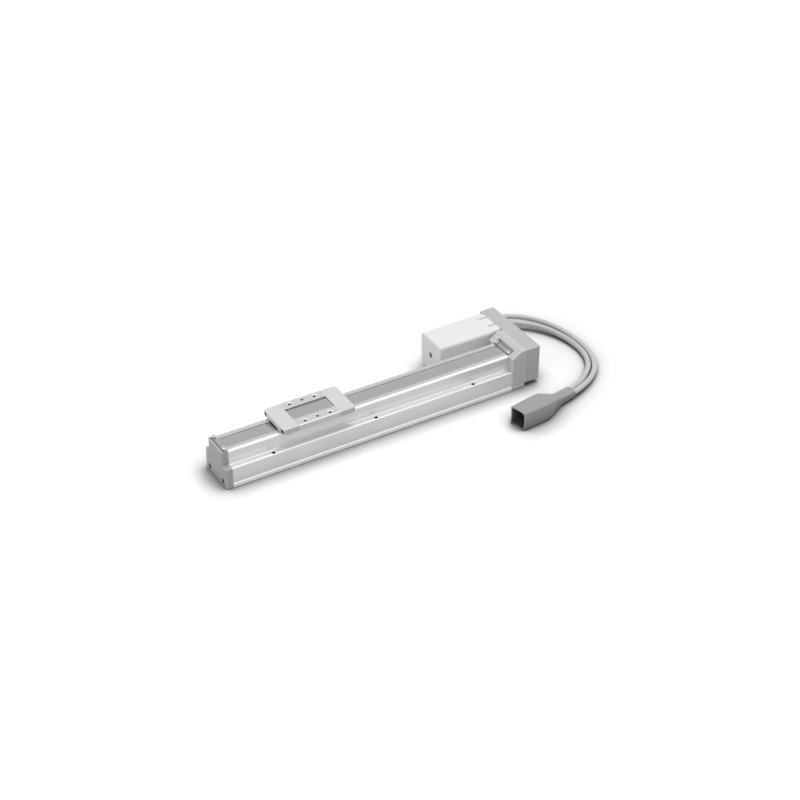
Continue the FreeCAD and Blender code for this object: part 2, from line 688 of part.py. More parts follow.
def band_guide(sign):
    """Wedge in a table cover that keeps the band down along its ramp."""
    lift = BAND_THICKNESS + 2 * MOVING_GAP
    wall = TABLE_LENGTH / 2 + COVER_LENGTH - COVER_END_WALL
    slope = (WEB_TOP - BAND_SEAT) / (RAMP_END - RAMP_START)
    low = TABLE_BOTTOM + MOVING_GAP
    outline = [
        (RAMP_END - (CHANNEL_TOP - BAND_SEAT - lift) / slope, CHANNEL_TOP),
        (RAMP_END - (low - BAND_SEAT - lift) / slope, low),
        (wall, low),
        (wall, CHANNEL_TOP),
    ]
    return prism("y", -CHANNEL_HALF, CHANNEL_HALF, [(TABLE_REST + sign * x, z) for x, z in outline])


# Screw drive: the ball screw turns in an end bearing and a pair of fixed bearings, and carries a
# lock nut and a toothed pulley beyond the drive block.
def ball_screw():
    """Stepped shaft from the end bearing to the pulley."""
    bearing_face = -BODY_END + BOSS_LENGTH
    end = bearing_face - END_BEARING_WIDTH
    spans = [
        rod(END_JOURNAL_DIAMETER, end, bearing_face + SCREW_END_GAP),
        rod(SCREW_DIAMETER, bearing_face + SCREW_END_GAP, BEARING_FRONT),
        rod(FIXED_JOURNAL_DIAMETER, BEARING_FRONT, PULLEY_FRONT),
        rod(PULLEY_JOURNAL_DIAMETER, PULLEY_FRONT, PULLEY_FRONT + PULLEY_WIDTH),
    ]
    return spans[0].fuse(spans[1:]).removeSplitter()


def pulley(y):
    """Toothed wheel with a hub bore: a notch with sloping sides between each tooth and the next."""
    x = (PULLEY_FRONT, PULLEY_FRONT + PULLEY_WIDTH)
    rim = PULLEY_DIAMETER / 2
    pitch = 2 * math.pi / PULLEY_TEETH
    land = (pitch - TOOTH_WIDTH / rim) / 2
    outline = []
    for tooth in range(PULLEY_TEETH):
        middle = tooth * pitch
        corners = [(rim, middle - land), (rim, middle + land), (rim - TOOTH_DEPTH, middle + pitch / 2)]
        for reach, turn in corners:
            outline.append((y + reach * math.cos(turn), AXIS_HEIGHT + reach * math.sin(turn)))
    bore = seat(PULLEY_JOURNAL_DIAMETER + 2 * RUNNING_CLEARANCE, x[0], x[1], y)
    return prism("x", x[0], x[1], outline).cut(bore)


def flanged_pulley(y):
    """Toothed wheel between two flanges that keep the belt on both pulleys."""
    inside = around(PULLEY_FRONT + PULLEY_WIDTH / 2, PULLEY_WIDTH / 2 - PULLEY_FLANGE_THICKNESS)
    ends = (PULLEY_FRONT, PULLEY_FRONT + PULLEY_WIDTH)
    bore = seat(PULLEY_JOURNAL_DIAMETER + 2 * RUNNING_CLEARANCE, ends[0], ends[1], y)
    flanges = [
        seat(PULLEY_FLANGE_DIAMETER, ends[0], inside[0], y).cut(bore),
        seat(PULLEY_FLANGE_DIAMETER, inside[1], ends[1], y).cut(bore),
    ]
    return pulley(y).fuse(flanges).removeSplitter()


def drive_belt():
    """Plain loop round both pulleys, set off from their teeth."""
    inner = PULLEY_DIAMETER / 2 + SLIDING_CLEARANCE

    def loop(radius):
        x = around(PULLEY_FRONT + PULLEY_WIDTH / 2, BELT_WIDTH / 2)
        flat = block(x, (0, AXIS_SPACING), around(AXIS_HEIGHT, radius))
        return flat.fuse([seat(2 * radius, x[0], x[1]), seat(2 * radius, x[0], x[1], AXIS_SPACING)])

    return loop(inner + BELT_THICKNESS).cut(loop(inner)).removeSplitter()


# Drive block: closes the body at the drive end, holds the fixed bearings, slopes down to the band
# with a pocket for the second clamp, and reaches out as a flange that carries the motor.
def drive_screw_places():
    """Seat, direction and shank length of the screws that hold the drive block to the body."""
    seat_x = BLOCK_BACK - MEDIUM_SCREW[2] - SCREW_CLEARANCE
    length = seat_x - BODY_END + BODY_SCREW_GRIP
    return [
        (Vector(seat_x, y, z), -FACING_X, length)
        for y in around(0, DRIVE_SCREW_SPACING / 2)
        for z in DRIVE_SCREW_HEIGHTS
    ]


def motor_screw_places():
    """Seat, direction and shank length of the two motor screws, on a diagonal."""
    seat_x = FLANGE_BACK - SMALL_SCREW[2]
    length = seat_x - FLANGE_FRONT + MOTOR_SCREW_GRIP
    half = MOTOR_SCREW_SPACING / 2
    corners = zip(around(AXIS_SPACING, half), around(AXIS_HEIGHT, half))
    return [(Vector(seat_x, y, z), -FACING_X, length) for y, z in corners]


def cover_boss_places():
    """Middles of the pulley cover's screw bosses, as Y and Z: two near corners and the far middle."""
    low = PULLEY_COVER_BOTTOM + PULLEY_COVER_SCREW_RISE
    high = DRIVE_BLOCK_TOP - PULLEY_COVER_SCREW_RISE
    near = -DRIVE_BLOCK_WIDTH / 2 + PULLEY_COVER_SCREW_INSET
    far = AXIS_SPACING + FLANGE_HALF - PULLEY_COVER_FAR_INSET
    return [(near, low), (near, high), (far, AXIS_HEIGHT)]


def pulley_cover_screw_places():
    """Seat, direction and shank length of the pulley cover's screws."""
    seat_x = PULLEY_COVER_BACK - SMALL_SCREW[2] - SCREW_CLEARANCE
    length = seat_x - FLANGE_BACK + PULLEY_COVER_SCREW_GRIP
    return [(Vector(seat_x, y, z), -FACING_X, length) for y, z in cover_boss_places()]


def drive_block():
    """Sloped block with a bearing bore, a clamp pocket, a boss inside the body and a motor flange."""
    half = DRIVE_BLOCK_WIDTH / 2
    side = [
        (BODY_END, GROUND_GAP),
        (BODY_END, BAND_SEAT),
        (BODY_END + SLOPE_LENGTH, DRIVE_BLOCK_TOP),
        (BLOCK_BACK, DRIVE_BLOCK_TOP),
        (BLOCK_BACK, GROUND_GAP),
    ]
    body = prism("y", -half, half, side)
    ridge = (BODY_END + SLOPE_LENGTH, DRIVE_BLOCK_TOP)
    body = body.makeFillet(DRIVE_CORNER_RADIUS, edges_at(body, "y", [ridge]))
    outer = [edge for edge in body.Edges if all(abs(v.Y) > half - MATCH for v in edge.Vertexes)]
    seen = [edge for edge in outer if edge.Length < 2 * half and edge.CenterOfMass.x < BLOCK_BACK - MATCH]
    upper = [edge for edge in seen if edge.CenterOfMass.z > GROUND_GAP + MATCH]
    body = body.makeChamfer(DRIVE_BLOCK_EDGE, upper)
    boss = block(
        (BODY_END - BOSS_LENGTH, BODY_END),
        around(0, CAVITY_HALF - BOSS_GAP),
        (SADDLE_BOTTOM, CEILING - BOSS_GAP),
    )
    flange = block(
        (FLANGE_FRONT, FLANGE_BACK),
        (half - FLANGE_THICKNESS, AXIS_SPACING + FLANGE_HALF),
        around(AXIS_HEIGHT, FLANGE_HALF),
    )
    step = block((BLOCK_BACK, FLANGE_BACK), (0, half + MOVING_GAP), (0, DRIVE_BLOCK_TOP))
    flange = flange.cut(step)
    pilot_end = FLANGE_FRONT + PILOT_SEAT_DEPTH
    cuts = [
        block(
            (BODY_END, BODY_END + POCKET_LENGTH),
            around(0, CLAMP_WIDTH / 2 + POCKET_SIDE_GAP),
            (BAND_SEAT, DRIVE_BLOCK_TOP),
        ),
        seat(SCREW_DIAMETER + 2 * MOVING_GAP, BODY_END - BOSS_LENGTH, BEARING_FRONT),
        seat(FIXED_BEARING_DIAMETER + 2 * RUNNING_CLEARANCE, BEARING_FRONT, BLOCK_BACK),
        seat(PILOT_DIAMETER + 2 * SCREW_CLEARANCE, FLANGE_FRONT, pilot_end, AXIS_SPACING),
        seat(SHAFT_HOLE_DIAMETER, FLANGE_FRONT, FLANGE_BACK, AXIS_SPACING),
    ]
    cuts += holes(MEDIUM_SCREW, drive_screw_places(), MEDIUM_SCREW[2] + SCREW_CLEARANCE)
    cuts += holes(SMALL_SCREW, clamp_screw_places(DRIVE_CLAMP_X))
    cuts += holes(SMALL_SCREW, pulley_cover_screw_places())
    cuts += holes(SMALL_SCREW, motor_screw_places(), SMALL_SCREW[2])
    return body.fuse([boss, flange]).cut(cuts).removeSplitter()


def lock_nut():
    """Hexagon nut that draws the screw against its fixed bearings."""
    low = BLOCK_BACK - RETAINER_THICKNESS
    high = low + LOCK_NUT_LENGTH
    reach = LOCK_NUT_WIDTH / math.sqrt(3)
    turns = [index * math.pi / 3 for index in range(6)]
    hexagon = [(reach * math.cos(turn), AXIS_HEIGHT + reach * math.sin(turn)) for turn in turns]
    bore = seat(FIXED_JOURNAL_DIAMETER + 2 * RUNNING_CLEARANCE, low, high)
    return prism("x", low, high, hexagon).cut(bore)


def end_bumper(start):
    """Square rubber pad on the end of a boss, with the screw passing through it."""
    x = (start, start + BUMPER_LENGTH)
    pad = block(x, around(0, BUMPER_SIZE / 2), around(AXIS_HEIGHT, BUMPER_SIZE / 2))
    return pad.cut(seat(SCREW_DIAMETER + 2 * MOVING_GAP, x[0], x[1]))


# Pulley cover: a shell over both pulleys with three screw bosses. Its rim is stepped, so that it
# meets the drive block on one side and the motor cover on the other.
def pulley_cover():
    """Rounded shell with bosses, open towards the drive block and the motor."""
    near = -DRIVE_BLOCK_WIDTH / 2
    far = AXIS_SPACING + PULLEY_COVER_REACH
    x = (BLOCK_BACK, PULLEY_COVER_BACK)
    shell = block(x, (near, far), (PULLEY_COVER_BOTTOM, DRIVE_BLOCK_TOP))
    rear = PULLEY_COVER_BACK - MATCH
    back = [edge for edge in shell.Edges if all(v.X > rear for v in edge.Vertexes)]
    long_edges = [(y, z) for y in (near, far) for z in (PULLEY_COVER_BOTTOM, DRIVE_BLOCK_TOP)]
    shell = shell.makeChamfer(PULLEY_COVER_EDGE, back + edges_at(shell, "x", long_edges))
    wall = PULLEY_COVER_WALL
    cavity = block(
        (BLOCK_BACK, PULLEY_COVER_BACK - wall),
        (near + wall, far - wall),
        (PULLEY_COVER_BOTTOM + wall, DRIVE_BLOCK_TOP - wall),
    )
    step = block(
        (BLOCK_BACK, FLANGE_BACK),
        (DRIVE_BLOCK_WIDTH / 2, far),
        (PULLEY_COVER_BOTTOM, DRIVE_BLOCK_TOP),
    )
    bosses = []
    for y, z in cover_boss_places():
        seat_x = BLOCK_BACK if y < 0 else FLANGE_BACK
        length = PULLEY_COVER_BACK - wall - seat_x
        boss = bar(PULLEY_COVER_BOSS / 2, -length, 0)
        boss.Placement = FreeCAD.Placement(Vector(seat_x, y, z), FreeCAD.Rotation(-FACING_Z, FACING_X))
        bosses.append(boss)
    cuts = holes(SMALL_SCREW, pulley_cover_screw_places(), SMALL_SCREW[2] + SCREW_CLEARANCE)
    return shell.cut([cavity, step]).fuse(bosses).cut(cuts).removeSplitter()


# Motor: a square step motor with end bells, an encoder behind it and one shaft through both.
def motor_body():
    """Square stack between two smaller end bells, with a round pilot on the front."""
    rear = FLANGE_FRONT - MOTOR_LENGTH
    bell_size = MOTOR_SIZE - 2 * MOTOR_BELL_INSET
    front_bell = FLANGE_FRONT - MOTOR_BELL_LENGTH
    rear_bell = rear + MOTOR_BELL_LENGTH
    pilot_end = FLANGE_FRONT + PILOT_LENGTH
    stack = square_bar(MOTOR_SIZE, MOTOR_CORNER, rear_bell, front_bell)
    bells = [
        square_bar(bell_size, MOTOR_CORNER, rear, rear_bell),
        square_bar(bell_size, MOTOR_CORNER, front_bell, FLANGE_FRONT),
        seat(PILOT_DIAMETER, FLANGE_FRONT, pilot_end, AXIS_SPACING),
    ]
    bore = seat(SHAFT_DIAMETER + 2 * RUNNING_CLEARANCE, rear, pilot_end, AXIS_SPACING)
    return stack.fuse(bells).cut([bore] + holes(SMALL_SCREW, motor_screw_places())).removeSplitter()


def motor_encoder():
    """Smaller square housing on the back of the motor."""
    rear = FLANGE_FRONT - MOTOR_LENGTH
    front = rear - ENCODER_LENGTH
    housing = square_bar(ENCODER_SIZE, MOTOR_CORNER, front, rear)
    return housing.cut(seat(SHAFT_DIAMETER + 2 * MOVING_GAP, front, rear, AXIS_SPACING))


def motor_shaft():
    """Shaft from the pulley to just behind the access hole, with a slot for turning it by hand."""
    rear = MOTOR_COVER_FRONT + MOTOR_COVER_WALL + MOVING_GAP
    shaft = rod(SHAFT_DIAMETER, rear, PULLEY_FRONT + PULLEY_WIDTH, AXIS_SPACING)
    slot = block(
        (rear, rear + SHAFT_SLOT_DEPTH),
        around(AXIS_SPACING, SHAFT_DIAMETER),
        around(AXIS_HEIGHT, SHAFT_SLOT_WIDTH / 2),
    )
    return shaft.cut(slot)


# Motor cover: a moulded box, open towards the pulley cover, with a snap arm cut free in its roof.
def motor_cover():
    """Rounded shell with an access hole, two snap slits, a notch for the flange and a cable hole."""
    y = around(AXIS_SPACING, MOTOR_COVER_HALF)
    z = around(AXIS_HEIGHT, MOTOR_COVER_HALF)
    x = (MOTOR_COVER_FRONT, FLANGE_BACK)
    shell = block(x, y, z)
    shell = shell.makeFillet(MOTOR_COVER_RADIUS, edges_at(shell, "x", [(a, b) for a in y for b in z]))
    front = MOTOR_COVER_FRONT + MATCH
    rim = [edge for edge in shell.Edges if all(v.X < front for v in edge.Vertexes)]
    shell = shell.makeChamfer(MOTOR_COVER_EDGE, rim)
    wall = MOTOR_COVER_WALL
    inside_y = around(AXIS_SPACING, MOTOR_COVER_HALF - wall)
    inside_z = around(AXIS_HEIGHT, MOTOR_COVER_HALF - wall)
    cuts = [
        block((x[0] + wall, x[1]), inside_y, inside_z),
        rod(ACCESS_HOLE_DIAMETER, x[0], x[0] + wall, AXIS_SPACING),
        block(
            (FLANGE_FRONT - SLIDING_CLEARANCE, FLANGE_BACK),
            (y[0], y[0] + wall),
            around(AXIS_HEIGHT, FLANGE_HALF + SLIDING_CLEARANCE),
        ),
    ]
    for sign in (-1, 1):
        slit = around(AXIS_SPACING + sign * SNAP_WIDTH / 2, SNAP_SLIT / 2)
        cuts.append(block((x[1] - SNAP_LENGTH, x[1]), slit, (z[1] - wall, z[1])))
    slack = 2 * SCREW_CLEARANCE
    cuts.append(oval(GROMMET_LENGTH + slack, GROMMET_WIDTH + slack, y[1] - wall, y[1]))
    return shell.cut(cuts)


# Cables: two round leads leave the grommet in the motor cover, bow round the pulley cover and lie
# on the surface up to the connector.
def oval(length, width, y_low, y_high):
    """Many-sided oval bar along Y at the grommet's place."""
    half = length / 2 - width / 2
    outline = []
    for x, z in polygon(width / 2, SEAT_SIDES):
        outline.append((GROMMET_X + math.copysign(half, x) + x, GROMMET_HEIGHT + z))
    return prism("y", y_low, y_high, outline)


def cable_grommet():
    """Rubber oval in the motor cover's wall with a lip outside."""
    face = MOTOR_COVER_FAR
    plug = oval(GROMMET_LENGTH, GROMMET_WIDTH, face - MOTOR_COVER_WALL, face)
    wider = 2 * GROMMET_LIP
    lip = oval(GROMMET_LENGTH + wider, GROMMET_WIDTH + wider, face, face + GROMMET_REACH)
    return plug.fuse(lip).removeSplitter()


def in_row(local):
    """Place a shape drawn along the connector's own axis where the connector lies."""
    local.Placement = FreeCAD.Placement(CONNECTOR_MOUTH, FreeCAD.Rotation(FACING_Z, CONNECTOR_TURN))
    return local


def tail_point(lateral, back):
    """Point on or behind the connector's tail face, a distance aside from its middle."""
    turn = FreeCAD.Rotation(FACING_Z, CONNECTOR_TURN)
    return CONNECTOR_MOUTH + turn.multVec(Vector(TAIL_X + back, lateral, TAIL_MIDDLE))


def cable(name, points):
    """Tube of a round cable's area along straight runs joined by arcs, with few sides."""
    edges = []
    radii = []
    start = points[0]
    for before, here, after in zip(points, points[1:], points[2:]):
        arriving = here - before
        leaving = after - here
        turn = arriving.getAngle(leaving)
        setback = ARC_SHARE * min(arriving.Length, leaving.Length)
        radius = setback / math.tan(turn / 2)
        first = here - arriving.normalize() * setback
        last = here + leaving.normalize() * setback
        to_centre = (leaving - arriving).normalize()
        middle = here + to_centre * (radius / math.cos(turn / 2) - radius)
        edges.append(Part.LineSegment(start, first).toShape())
        edges.append(Part.Arc(first, middle, last).toShape())
        radii.append(round(radius))
        start = last
    edges.append(Part.LineSegment(start, points[-1]).toShape())
    path = Part.Wire(edges)
    heading = points[1] - points[0]
    area = math.pi * CABLE_DIAMETER ** 2 / 4
    flat = math.sqrt(area / (CABLE_SIDES * math.tan(math.pi / CABLE_SIDES)))
    corners = [Vector(first, second, 0) for first, second in polygon(flat, CABLE_SIDES)]
    section = Part.makePolygon(corners + corners[:1])
    section.Placement = FreeCAD.Placement(points[0], FreeCAD.Rotation(FACING_Z, heading))
    tube = path.makePipeShell([section], True, False)
    expected = area * path.Length
    print(f"{name}: length {path.Length:.1f}, volume ratio {tube.Volume / expected:.4f}, radii {radii}")
    return tube


def grommet_point(sign):
    """Point where a cable leaves the grommet's outer face."""
    return Vector(GROMMET_X + sign * GROMMET_SPACING / 2, MOTOR_COVER_FAR + GROMMET_REACH, GROMMET_HEIGHT)


MOTOR_CABLE_ROUTE = [
    Vector(114.5, 70, 11),
    Vector(128, 85.5, 9),
    Vector(150, 88.5, 7.4),
    Vector(178, 85.5, 6.9),
    Vector(204.5, 79, 6.8),
    Vector(223.8, 58.8, 6),
    Vector(234.3, 34.3, 4.5),
    Vector(237.8, 7, 3.1),
    Vector(232.2, -18.9, 2.8),
    Vector(217.8, -39.2, 2.9),
]
ENCODER_CABLE_ROUTE = [
    Vector(120.5, 66.2, 11),
    Vector(125.1, 74.2, 10.3),
    Vector(133.5, 79.3, 9.4),
    Vector(152, 81.4, 8.2),
    Vector(177, 76.8, 7.3),
    Vector(201, 67.5, 6.7),
    Vector(219.2, 50, 5.6),
    Vector(229.5, 26.8, 3.9),
    Vector(231.9, 0, 2.9),
    Vector(224, -23.2, 2.8),
    Vector(206.8, -38.6, 3),
]


# Connector: a soft shroud with a square mouth that narrows to a flat tail, an insert deep inside it
# and two rows of contacts.
def section(x, width, height, middle, corner):
    """Corners of a rectangle with cut corners across the connector's axis."""
    w = width / 2
    h = height / 2
    right = [(w - corner, -h), (w, -h + corner), (w, h - corner), (w - corner, h)]
    return [Vector(x, y, middle + z) for y, z in mirrored(right)]


def flat_face(corners):
    """Flat face inside a closed line of corners."""
    return Part.Face(Part.makePolygon(corners + corners[:1]))


def bowed(half):
    """Outline of a shallow bow over a width, drawn with straight runs."""
    spread = [index * half / MOUTH_RUNS for index in range(-MOUTH_RUNS, MOUTH_RUNS + 1)]
    return [(CONNECTOR_MOUTH_SAG * (1 - (place / half) ** 2), place) for place in spread]


def connector_shell():
    """Tapering box from the square mouth to the flat tail, hollowed out, with bowed-in mouth edges."""
    middle = CONNECTOR_HEIGHT / 2
    sections = [
        section(0, CONNECTOR_WIDTH, CONNECTOR_HEIGHT, middle, CONNECTOR_CORNER),
        section(CONNECTOR_BOX_LENGTH, CONNECTOR_WIDTH, CONNECTOR_HEIGHT, middle, CONNECTOR_CORNER),
        section(NECK_X, *NECK_SECTION, NECK_MIDDLE, NECK_CORNER),
        section(TAIL_X, *TAIL_SECTION, TAIL_MIDDLE, TAIL_CORNER),
    ]
    faces = [flat_face(sections[0]), flat_face(sections[-1])]
    for here, there in zip(sections, sections[1:]):
        for index in range(len(here)):
            faces.append(flat_face([here[index - 1], here[index], there[index], there[index - 1]]))
    shell = Part.makeSolid(Part.makeShell(faces))
    half = CONNECTOR_WIDTH / 2
    wall = CONNECTOR_WALL
    cavity = block((0, CONNECTOR_CAVITY_DEPTH), around(0, half - wall), (wall, CONNECTOR_HEIGHT - wall))
    upright = prism("z", 0, CONNECTOR_HEIGHT, bowed(half))
    level = prism("y", -half, half, raised(bowed(middle), middle))
    return in_row(shell.cut([cavity, upright, level]))


def contact_places():
    """Y and Z of each contact about the connector's axis."""
    columns = [(index - (CONTACT_COLUMNS - 1) / 2) * CONTACT_PITCH for index in range(CONTACT_COLUMNS)]
    rows = [(index - (CONTACT_ROWS - 1) / 2) * CONTACT_PITCH for index in range(CONTACT_ROWS)]
    return [(y, CONNECTOR_HEIGHT / 2 + z) for y in columns for z in rows]


def connector_insert():
    """Block that fills the back of the shroud."""
    half = CONNECTOR_WIDTH / 2 - CONNECTOR_WALL
    x = (CONNECTOR_CAVITY_DEPTH - INSERT_LENGTH, CONNECTOR_CAVITY_DEPTH)
    return in_row(block(x, around(0, half), (CONNECTOR_WALL, CONNECTOR_HEIGHT - CONNECTOR_WALL)))


def connector_contact(y, z):
    """Square contact pin that stands on the insert's front face."""
    face = CONNECTOR_CAVITY_DEPTH - INSERT_LENGTH
    half = CONTACT_SIZE / 2
    return in_row(block((face - CONTACT_LENGTH, face), around(y, half), around(z, half)))


# Base: everything that stays with the body
save("base_rail", base_rail())
save("guide_rail", guide_rail())
save("end_cap", end_cap())
save("end_cap_screws", *screws(MEDIUM_SCREW, end_cap_screw_places()))
end_bearing_x = -BODY_END + BOSS_LENGTH
save("end_bearing", ring(
    END_BEARING_DIAMETER,
    END_JOURNAL_DIAMETER + 2 * RUNNING_CLEARANCE,
    end_bearing_x - END_BEARING_WIDTH,
    end_bearing_x,
))
save("left_band_clamp", band_clamp(CAP_CLAMP_X))
save("right_band_clamp", band_clamp(DRIVE_CLAMP_X))
clamp_places = clamp_screw_places(CAP_CLAMP_X) + clamp_screw_places(DRIVE_CLAMP_X)
save("band_clamp_screws", *screws(SMALL_SCREW, clamp_places))
save("seal_band", seal_band())
save("drive_block", drive_block())
save("drive_block_screws", *screws(MEDIUM_SCREW, drive_screw_places()))
bearing_starts = [BEARING_FRONT, BEARING_FRONT + FIXED_BEARING_WIDTH]
fixed_bore = FIXED_JOURNAL_DIAMETER + 2 * RUNNING_CLEARANCE
save("fixed_bearings", *[
    ring(FIXED_BEARING_DIAMETER, fixed_bore, start, start + FIXED_BEARING_WIDTH) for start in bearing_starts
])
retainer_x = (BLOCK_BACK - RETAINER_THICKNESS, BLOCK_BACK)
retainer_hole = LOCK_NUT_WIDTH * 2 / math.sqrt(3) + 2 * MOVING_GAP
save("bearing_retainer", ring(FIXED_BEARING_DIAMETER, retainer_hole, *retainer_x))
save("end_bumpers", end_bumper(-BODY_END + BOSS_LENGTH), end_bumper(BODY_END - BOSS_LENGTH - BUMPER_LENGTH))
save("pulley_cover", pulley_cover())
save("pulley_cover_screws", *screws(SMALL_SCREW, pulley_cover_screw_places()))
save("drive_belt", drive_belt())
save("motor_body", motor_body())
save("motor_encoder", motor_encoder())
save("motor_screws", *screws(SMALL_SCREW, motor_screw_places()))
save("motor_cover", motor_cover())
save("cable_grommet", cable_grommet())
cable_aside = (CABLE_DIAMETER + CABLE_GAP) / 2
motor_cable_end = [tail_point(-cable_aside, CABLE_LEAD), tail_point(-cable_aside, 0)]
save("motor_cable", cable("motor_cable", [grommet_point(-1)] + MOTOR_CABLE_ROUTE + motor_cable_end))
encoder_cable_end = [tail_point(cable_aside, CABLE_LEAD), tail_point(cable_aside, 0)]
save("encoder_cable", cable("encoder_cable", [grommet_point(1)] + ENCODER_CABLE_ROUTE + encoder_cable_end))
save("connector_shell", connector_shell())
save("connector_insert", connector_insert())
save("connector_contacts", *[connector_contact(y, z) for y, z in contact_places()])

# Table: everything that slides
save("table_plate", table_plate())
save("left_table_cover", table_cover(-1))
save("right_table_cover", table_cover(1))
save("table_cover_screws", *screws(SMALL_SCREW, cover_screw_places(-1) + cover_screw_places(1)))
save("band_guides", band_guide(-1), band_guide(1))
save("saddle_block", saddle_block())
save("saddle_screws", *screws(MEDIUM_SCREW, saddle_screw_places()))
save("guide_block", guide_block())
save("guide_block_caps", guide_block_cap(-1), guide_block_cap(1))
save("ball_nut", ball_nut())

# Screw and rotor: everything that turns
save("ball_screw", ball_screw())
save("screw_lock_nut", lock_nut())
save("screw_pulley", pulley(0.0))
save("motor_shaft", motor_shaft())
save("motor_pulley", flanged_pulley(AXIS_SPACING))
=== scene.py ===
import math

import bpy
import numpy as np
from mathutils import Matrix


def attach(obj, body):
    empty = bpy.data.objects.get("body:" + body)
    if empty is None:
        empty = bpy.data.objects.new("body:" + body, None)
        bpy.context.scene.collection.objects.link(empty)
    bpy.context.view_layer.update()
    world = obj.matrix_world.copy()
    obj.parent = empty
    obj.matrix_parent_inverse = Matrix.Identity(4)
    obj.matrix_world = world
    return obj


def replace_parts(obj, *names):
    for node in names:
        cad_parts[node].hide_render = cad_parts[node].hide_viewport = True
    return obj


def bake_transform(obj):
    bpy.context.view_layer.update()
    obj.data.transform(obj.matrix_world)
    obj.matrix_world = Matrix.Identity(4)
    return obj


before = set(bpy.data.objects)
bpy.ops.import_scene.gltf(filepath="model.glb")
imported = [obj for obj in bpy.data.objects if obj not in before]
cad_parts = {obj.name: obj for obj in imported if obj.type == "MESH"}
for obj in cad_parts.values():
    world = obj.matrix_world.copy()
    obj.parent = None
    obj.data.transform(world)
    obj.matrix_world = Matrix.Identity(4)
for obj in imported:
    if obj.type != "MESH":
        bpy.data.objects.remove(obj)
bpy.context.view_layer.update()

# Body rail: one length of extruded aluminium, blasted and clear anodised, so that faint draw lines
# run along it. Its long edges carry painted highlights, its foot strip painted light, its upper walls
# painted bounce light, and its top rims and mounting holes painted shade. Holes in both ledges take the
# mounting screws.
mm = 0.001


def feed(tree, socket, value):
    """Link another node's output to a socket, or set the socket to a plain value."""
    if isinstance(value, bpy.types.NodeSocket):
        tree.links.new(value, socket)
    else:
        socket.default_value = value


def new_group(name, inputs, outputs):
    """Shader node group with named sockets: inputs with their start values, outputs with their kinds."""
    tree = bpy.data.node_groups.new(name, "ShaderNodeTree")
    for label, start in inputs.items():
        kind = "NodeSocketVector" if isinstance(start, tuple) else "NodeSocketFloat"
        socket = tree.interface.new_socket(label, in_out="INPUT", socket_type=kind)
        socket.default_value = start
    for label, kind in outputs.items():
        tree.interface.new_socket(label, in_out="OUTPUT", socket_type="NodeSocket" + kind)
    return tree, tree.nodes.new("NodeGroupInput").outputs, tree.nodes.new("NodeGroupOutput").inputs


def placed(tree, group, values):
    """Outputs of a node group that is put into a tree with its own values."""
    node = tree.nodes.new("ShaderNodeGroup")
    node.node_tree = group
    for label, value in values.items():
        feed(tree, node.inputs[label], value)
    return node.outputs


def map_range(tree, value, low, high, to_low, to_high):
    """Value carried from one range to another, held at its ends."""
    node = tree.nodes.new("ShaderNodeMapRange")
    ends = {"Value": value, "From Min": low, "From Max": high, "To Min": to_low, "To Max": to_high}
    for label, end in ends.items():
        feed(tree, node.inputs[label], end)
    return node.outputs["Result"]


def arithmetic(tree, operation, *values):
    """Result of one arithmetic step on sockets and plain numbers."""
    node = tree.nodes.new("ShaderNodeMath")
    node.operation = operation
    for socket, value in zip(node.inputs, values):
        feed(tree, socket, value)
    return node.outputs["Value"]


def on_vectors(tree, operation, first, second):
    """Outputs of one step on two vectors."""
    node = tree.nodes.new("ShaderNodeVectorMath")
    node.operation = operation
    feed(tree, node.inputs[0], first)
    feed(tree, node.inputs[1], second)
    return node.outputs


def own_place(tree):
    """Where a point lies in the piece's own coordinates."""
    return tree.nodes.new("ShaderNodeTexCoord").outputs["Object"]


def noise(tree, place, scale, detail):
    """Smooth noise about one half: finer with a larger scale, rougher with more detail."""
    node = tree.nodes.new("ShaderNodeTexNoise")
    for label, value in (("Vector", place), ("Scale", scale), ("Detail", detail)):
        feed(tree, node.inputs[label], value)
    return node.outputs["Fac"]


def make_edge_wear_and_highlight():
    """Edges worn by rubbing, with a painted highlight: how far a normal averaged over a small radius leans
    from the face's own normal, broken up by noise, and that averaged normal itself."""
    tree, given, put_out = new_group("edge_wear_and_highlight", {"Radius": 0.5 * mm}, {"Mask": "Float", "Normal": "Vector"})
    rounded = tree.nodes.new("ShaderNodeBevel")
    rounded.samples = 6
    feed(tree, rounded.inputs["Radius"], given["Radius"])
    face = tree.nodes.new("ShaderNodeNewGeometry")
    lean = on_vectors(tree, "DOT_PRODUCT", rounded.outputs["Normal"], face.outputs["Normal"])
    flat_lean = 0.995
    full_edge_lean = 0.9
    edge = map_range(tree, lean["Value"], flat_lean, full_edge_lean, 0.0, 1.0)
    speckle = noise(tree, own_place(tree), scale=260.0, detail=3.0)
    low_speckle = 0.35
    high_speckle = 0.6
    least_edge_share = 0.6
    broken = map_range(tree, speckle, low_speckle, high_speckle, least_edge_share, 1.0)
    feed(tree, put_out["Mask"], arithmetic(tree, "MULTIPLY", edge, broken))
    feed(tree, put_out["Normal"], rounded.outputs["Normal"])
    return tree


def make_grain():
    """Surface grain: fine noise with its own scale along each axis, and a wide, slow noise for patches of
    tone."""
    starts = {"Stretch": (1.0, 1.0, 1.0)}
    tree, given, put_out = new_group("grain", starts, {"Relief": "Float", "Shade": "Float"})
    place = own_place(tree)
    stretched = on_vectors(tree, "MULTIPLY", place, given["Stretch"])
    feed(tree, put_out["Relief"], noise(tree, stretched["Vector"], scale=1.0, detail=4.0))
    feed(tree, put_out["Shade"], noise(tree, place, scale=30.0, detail=2.0))
    return tree


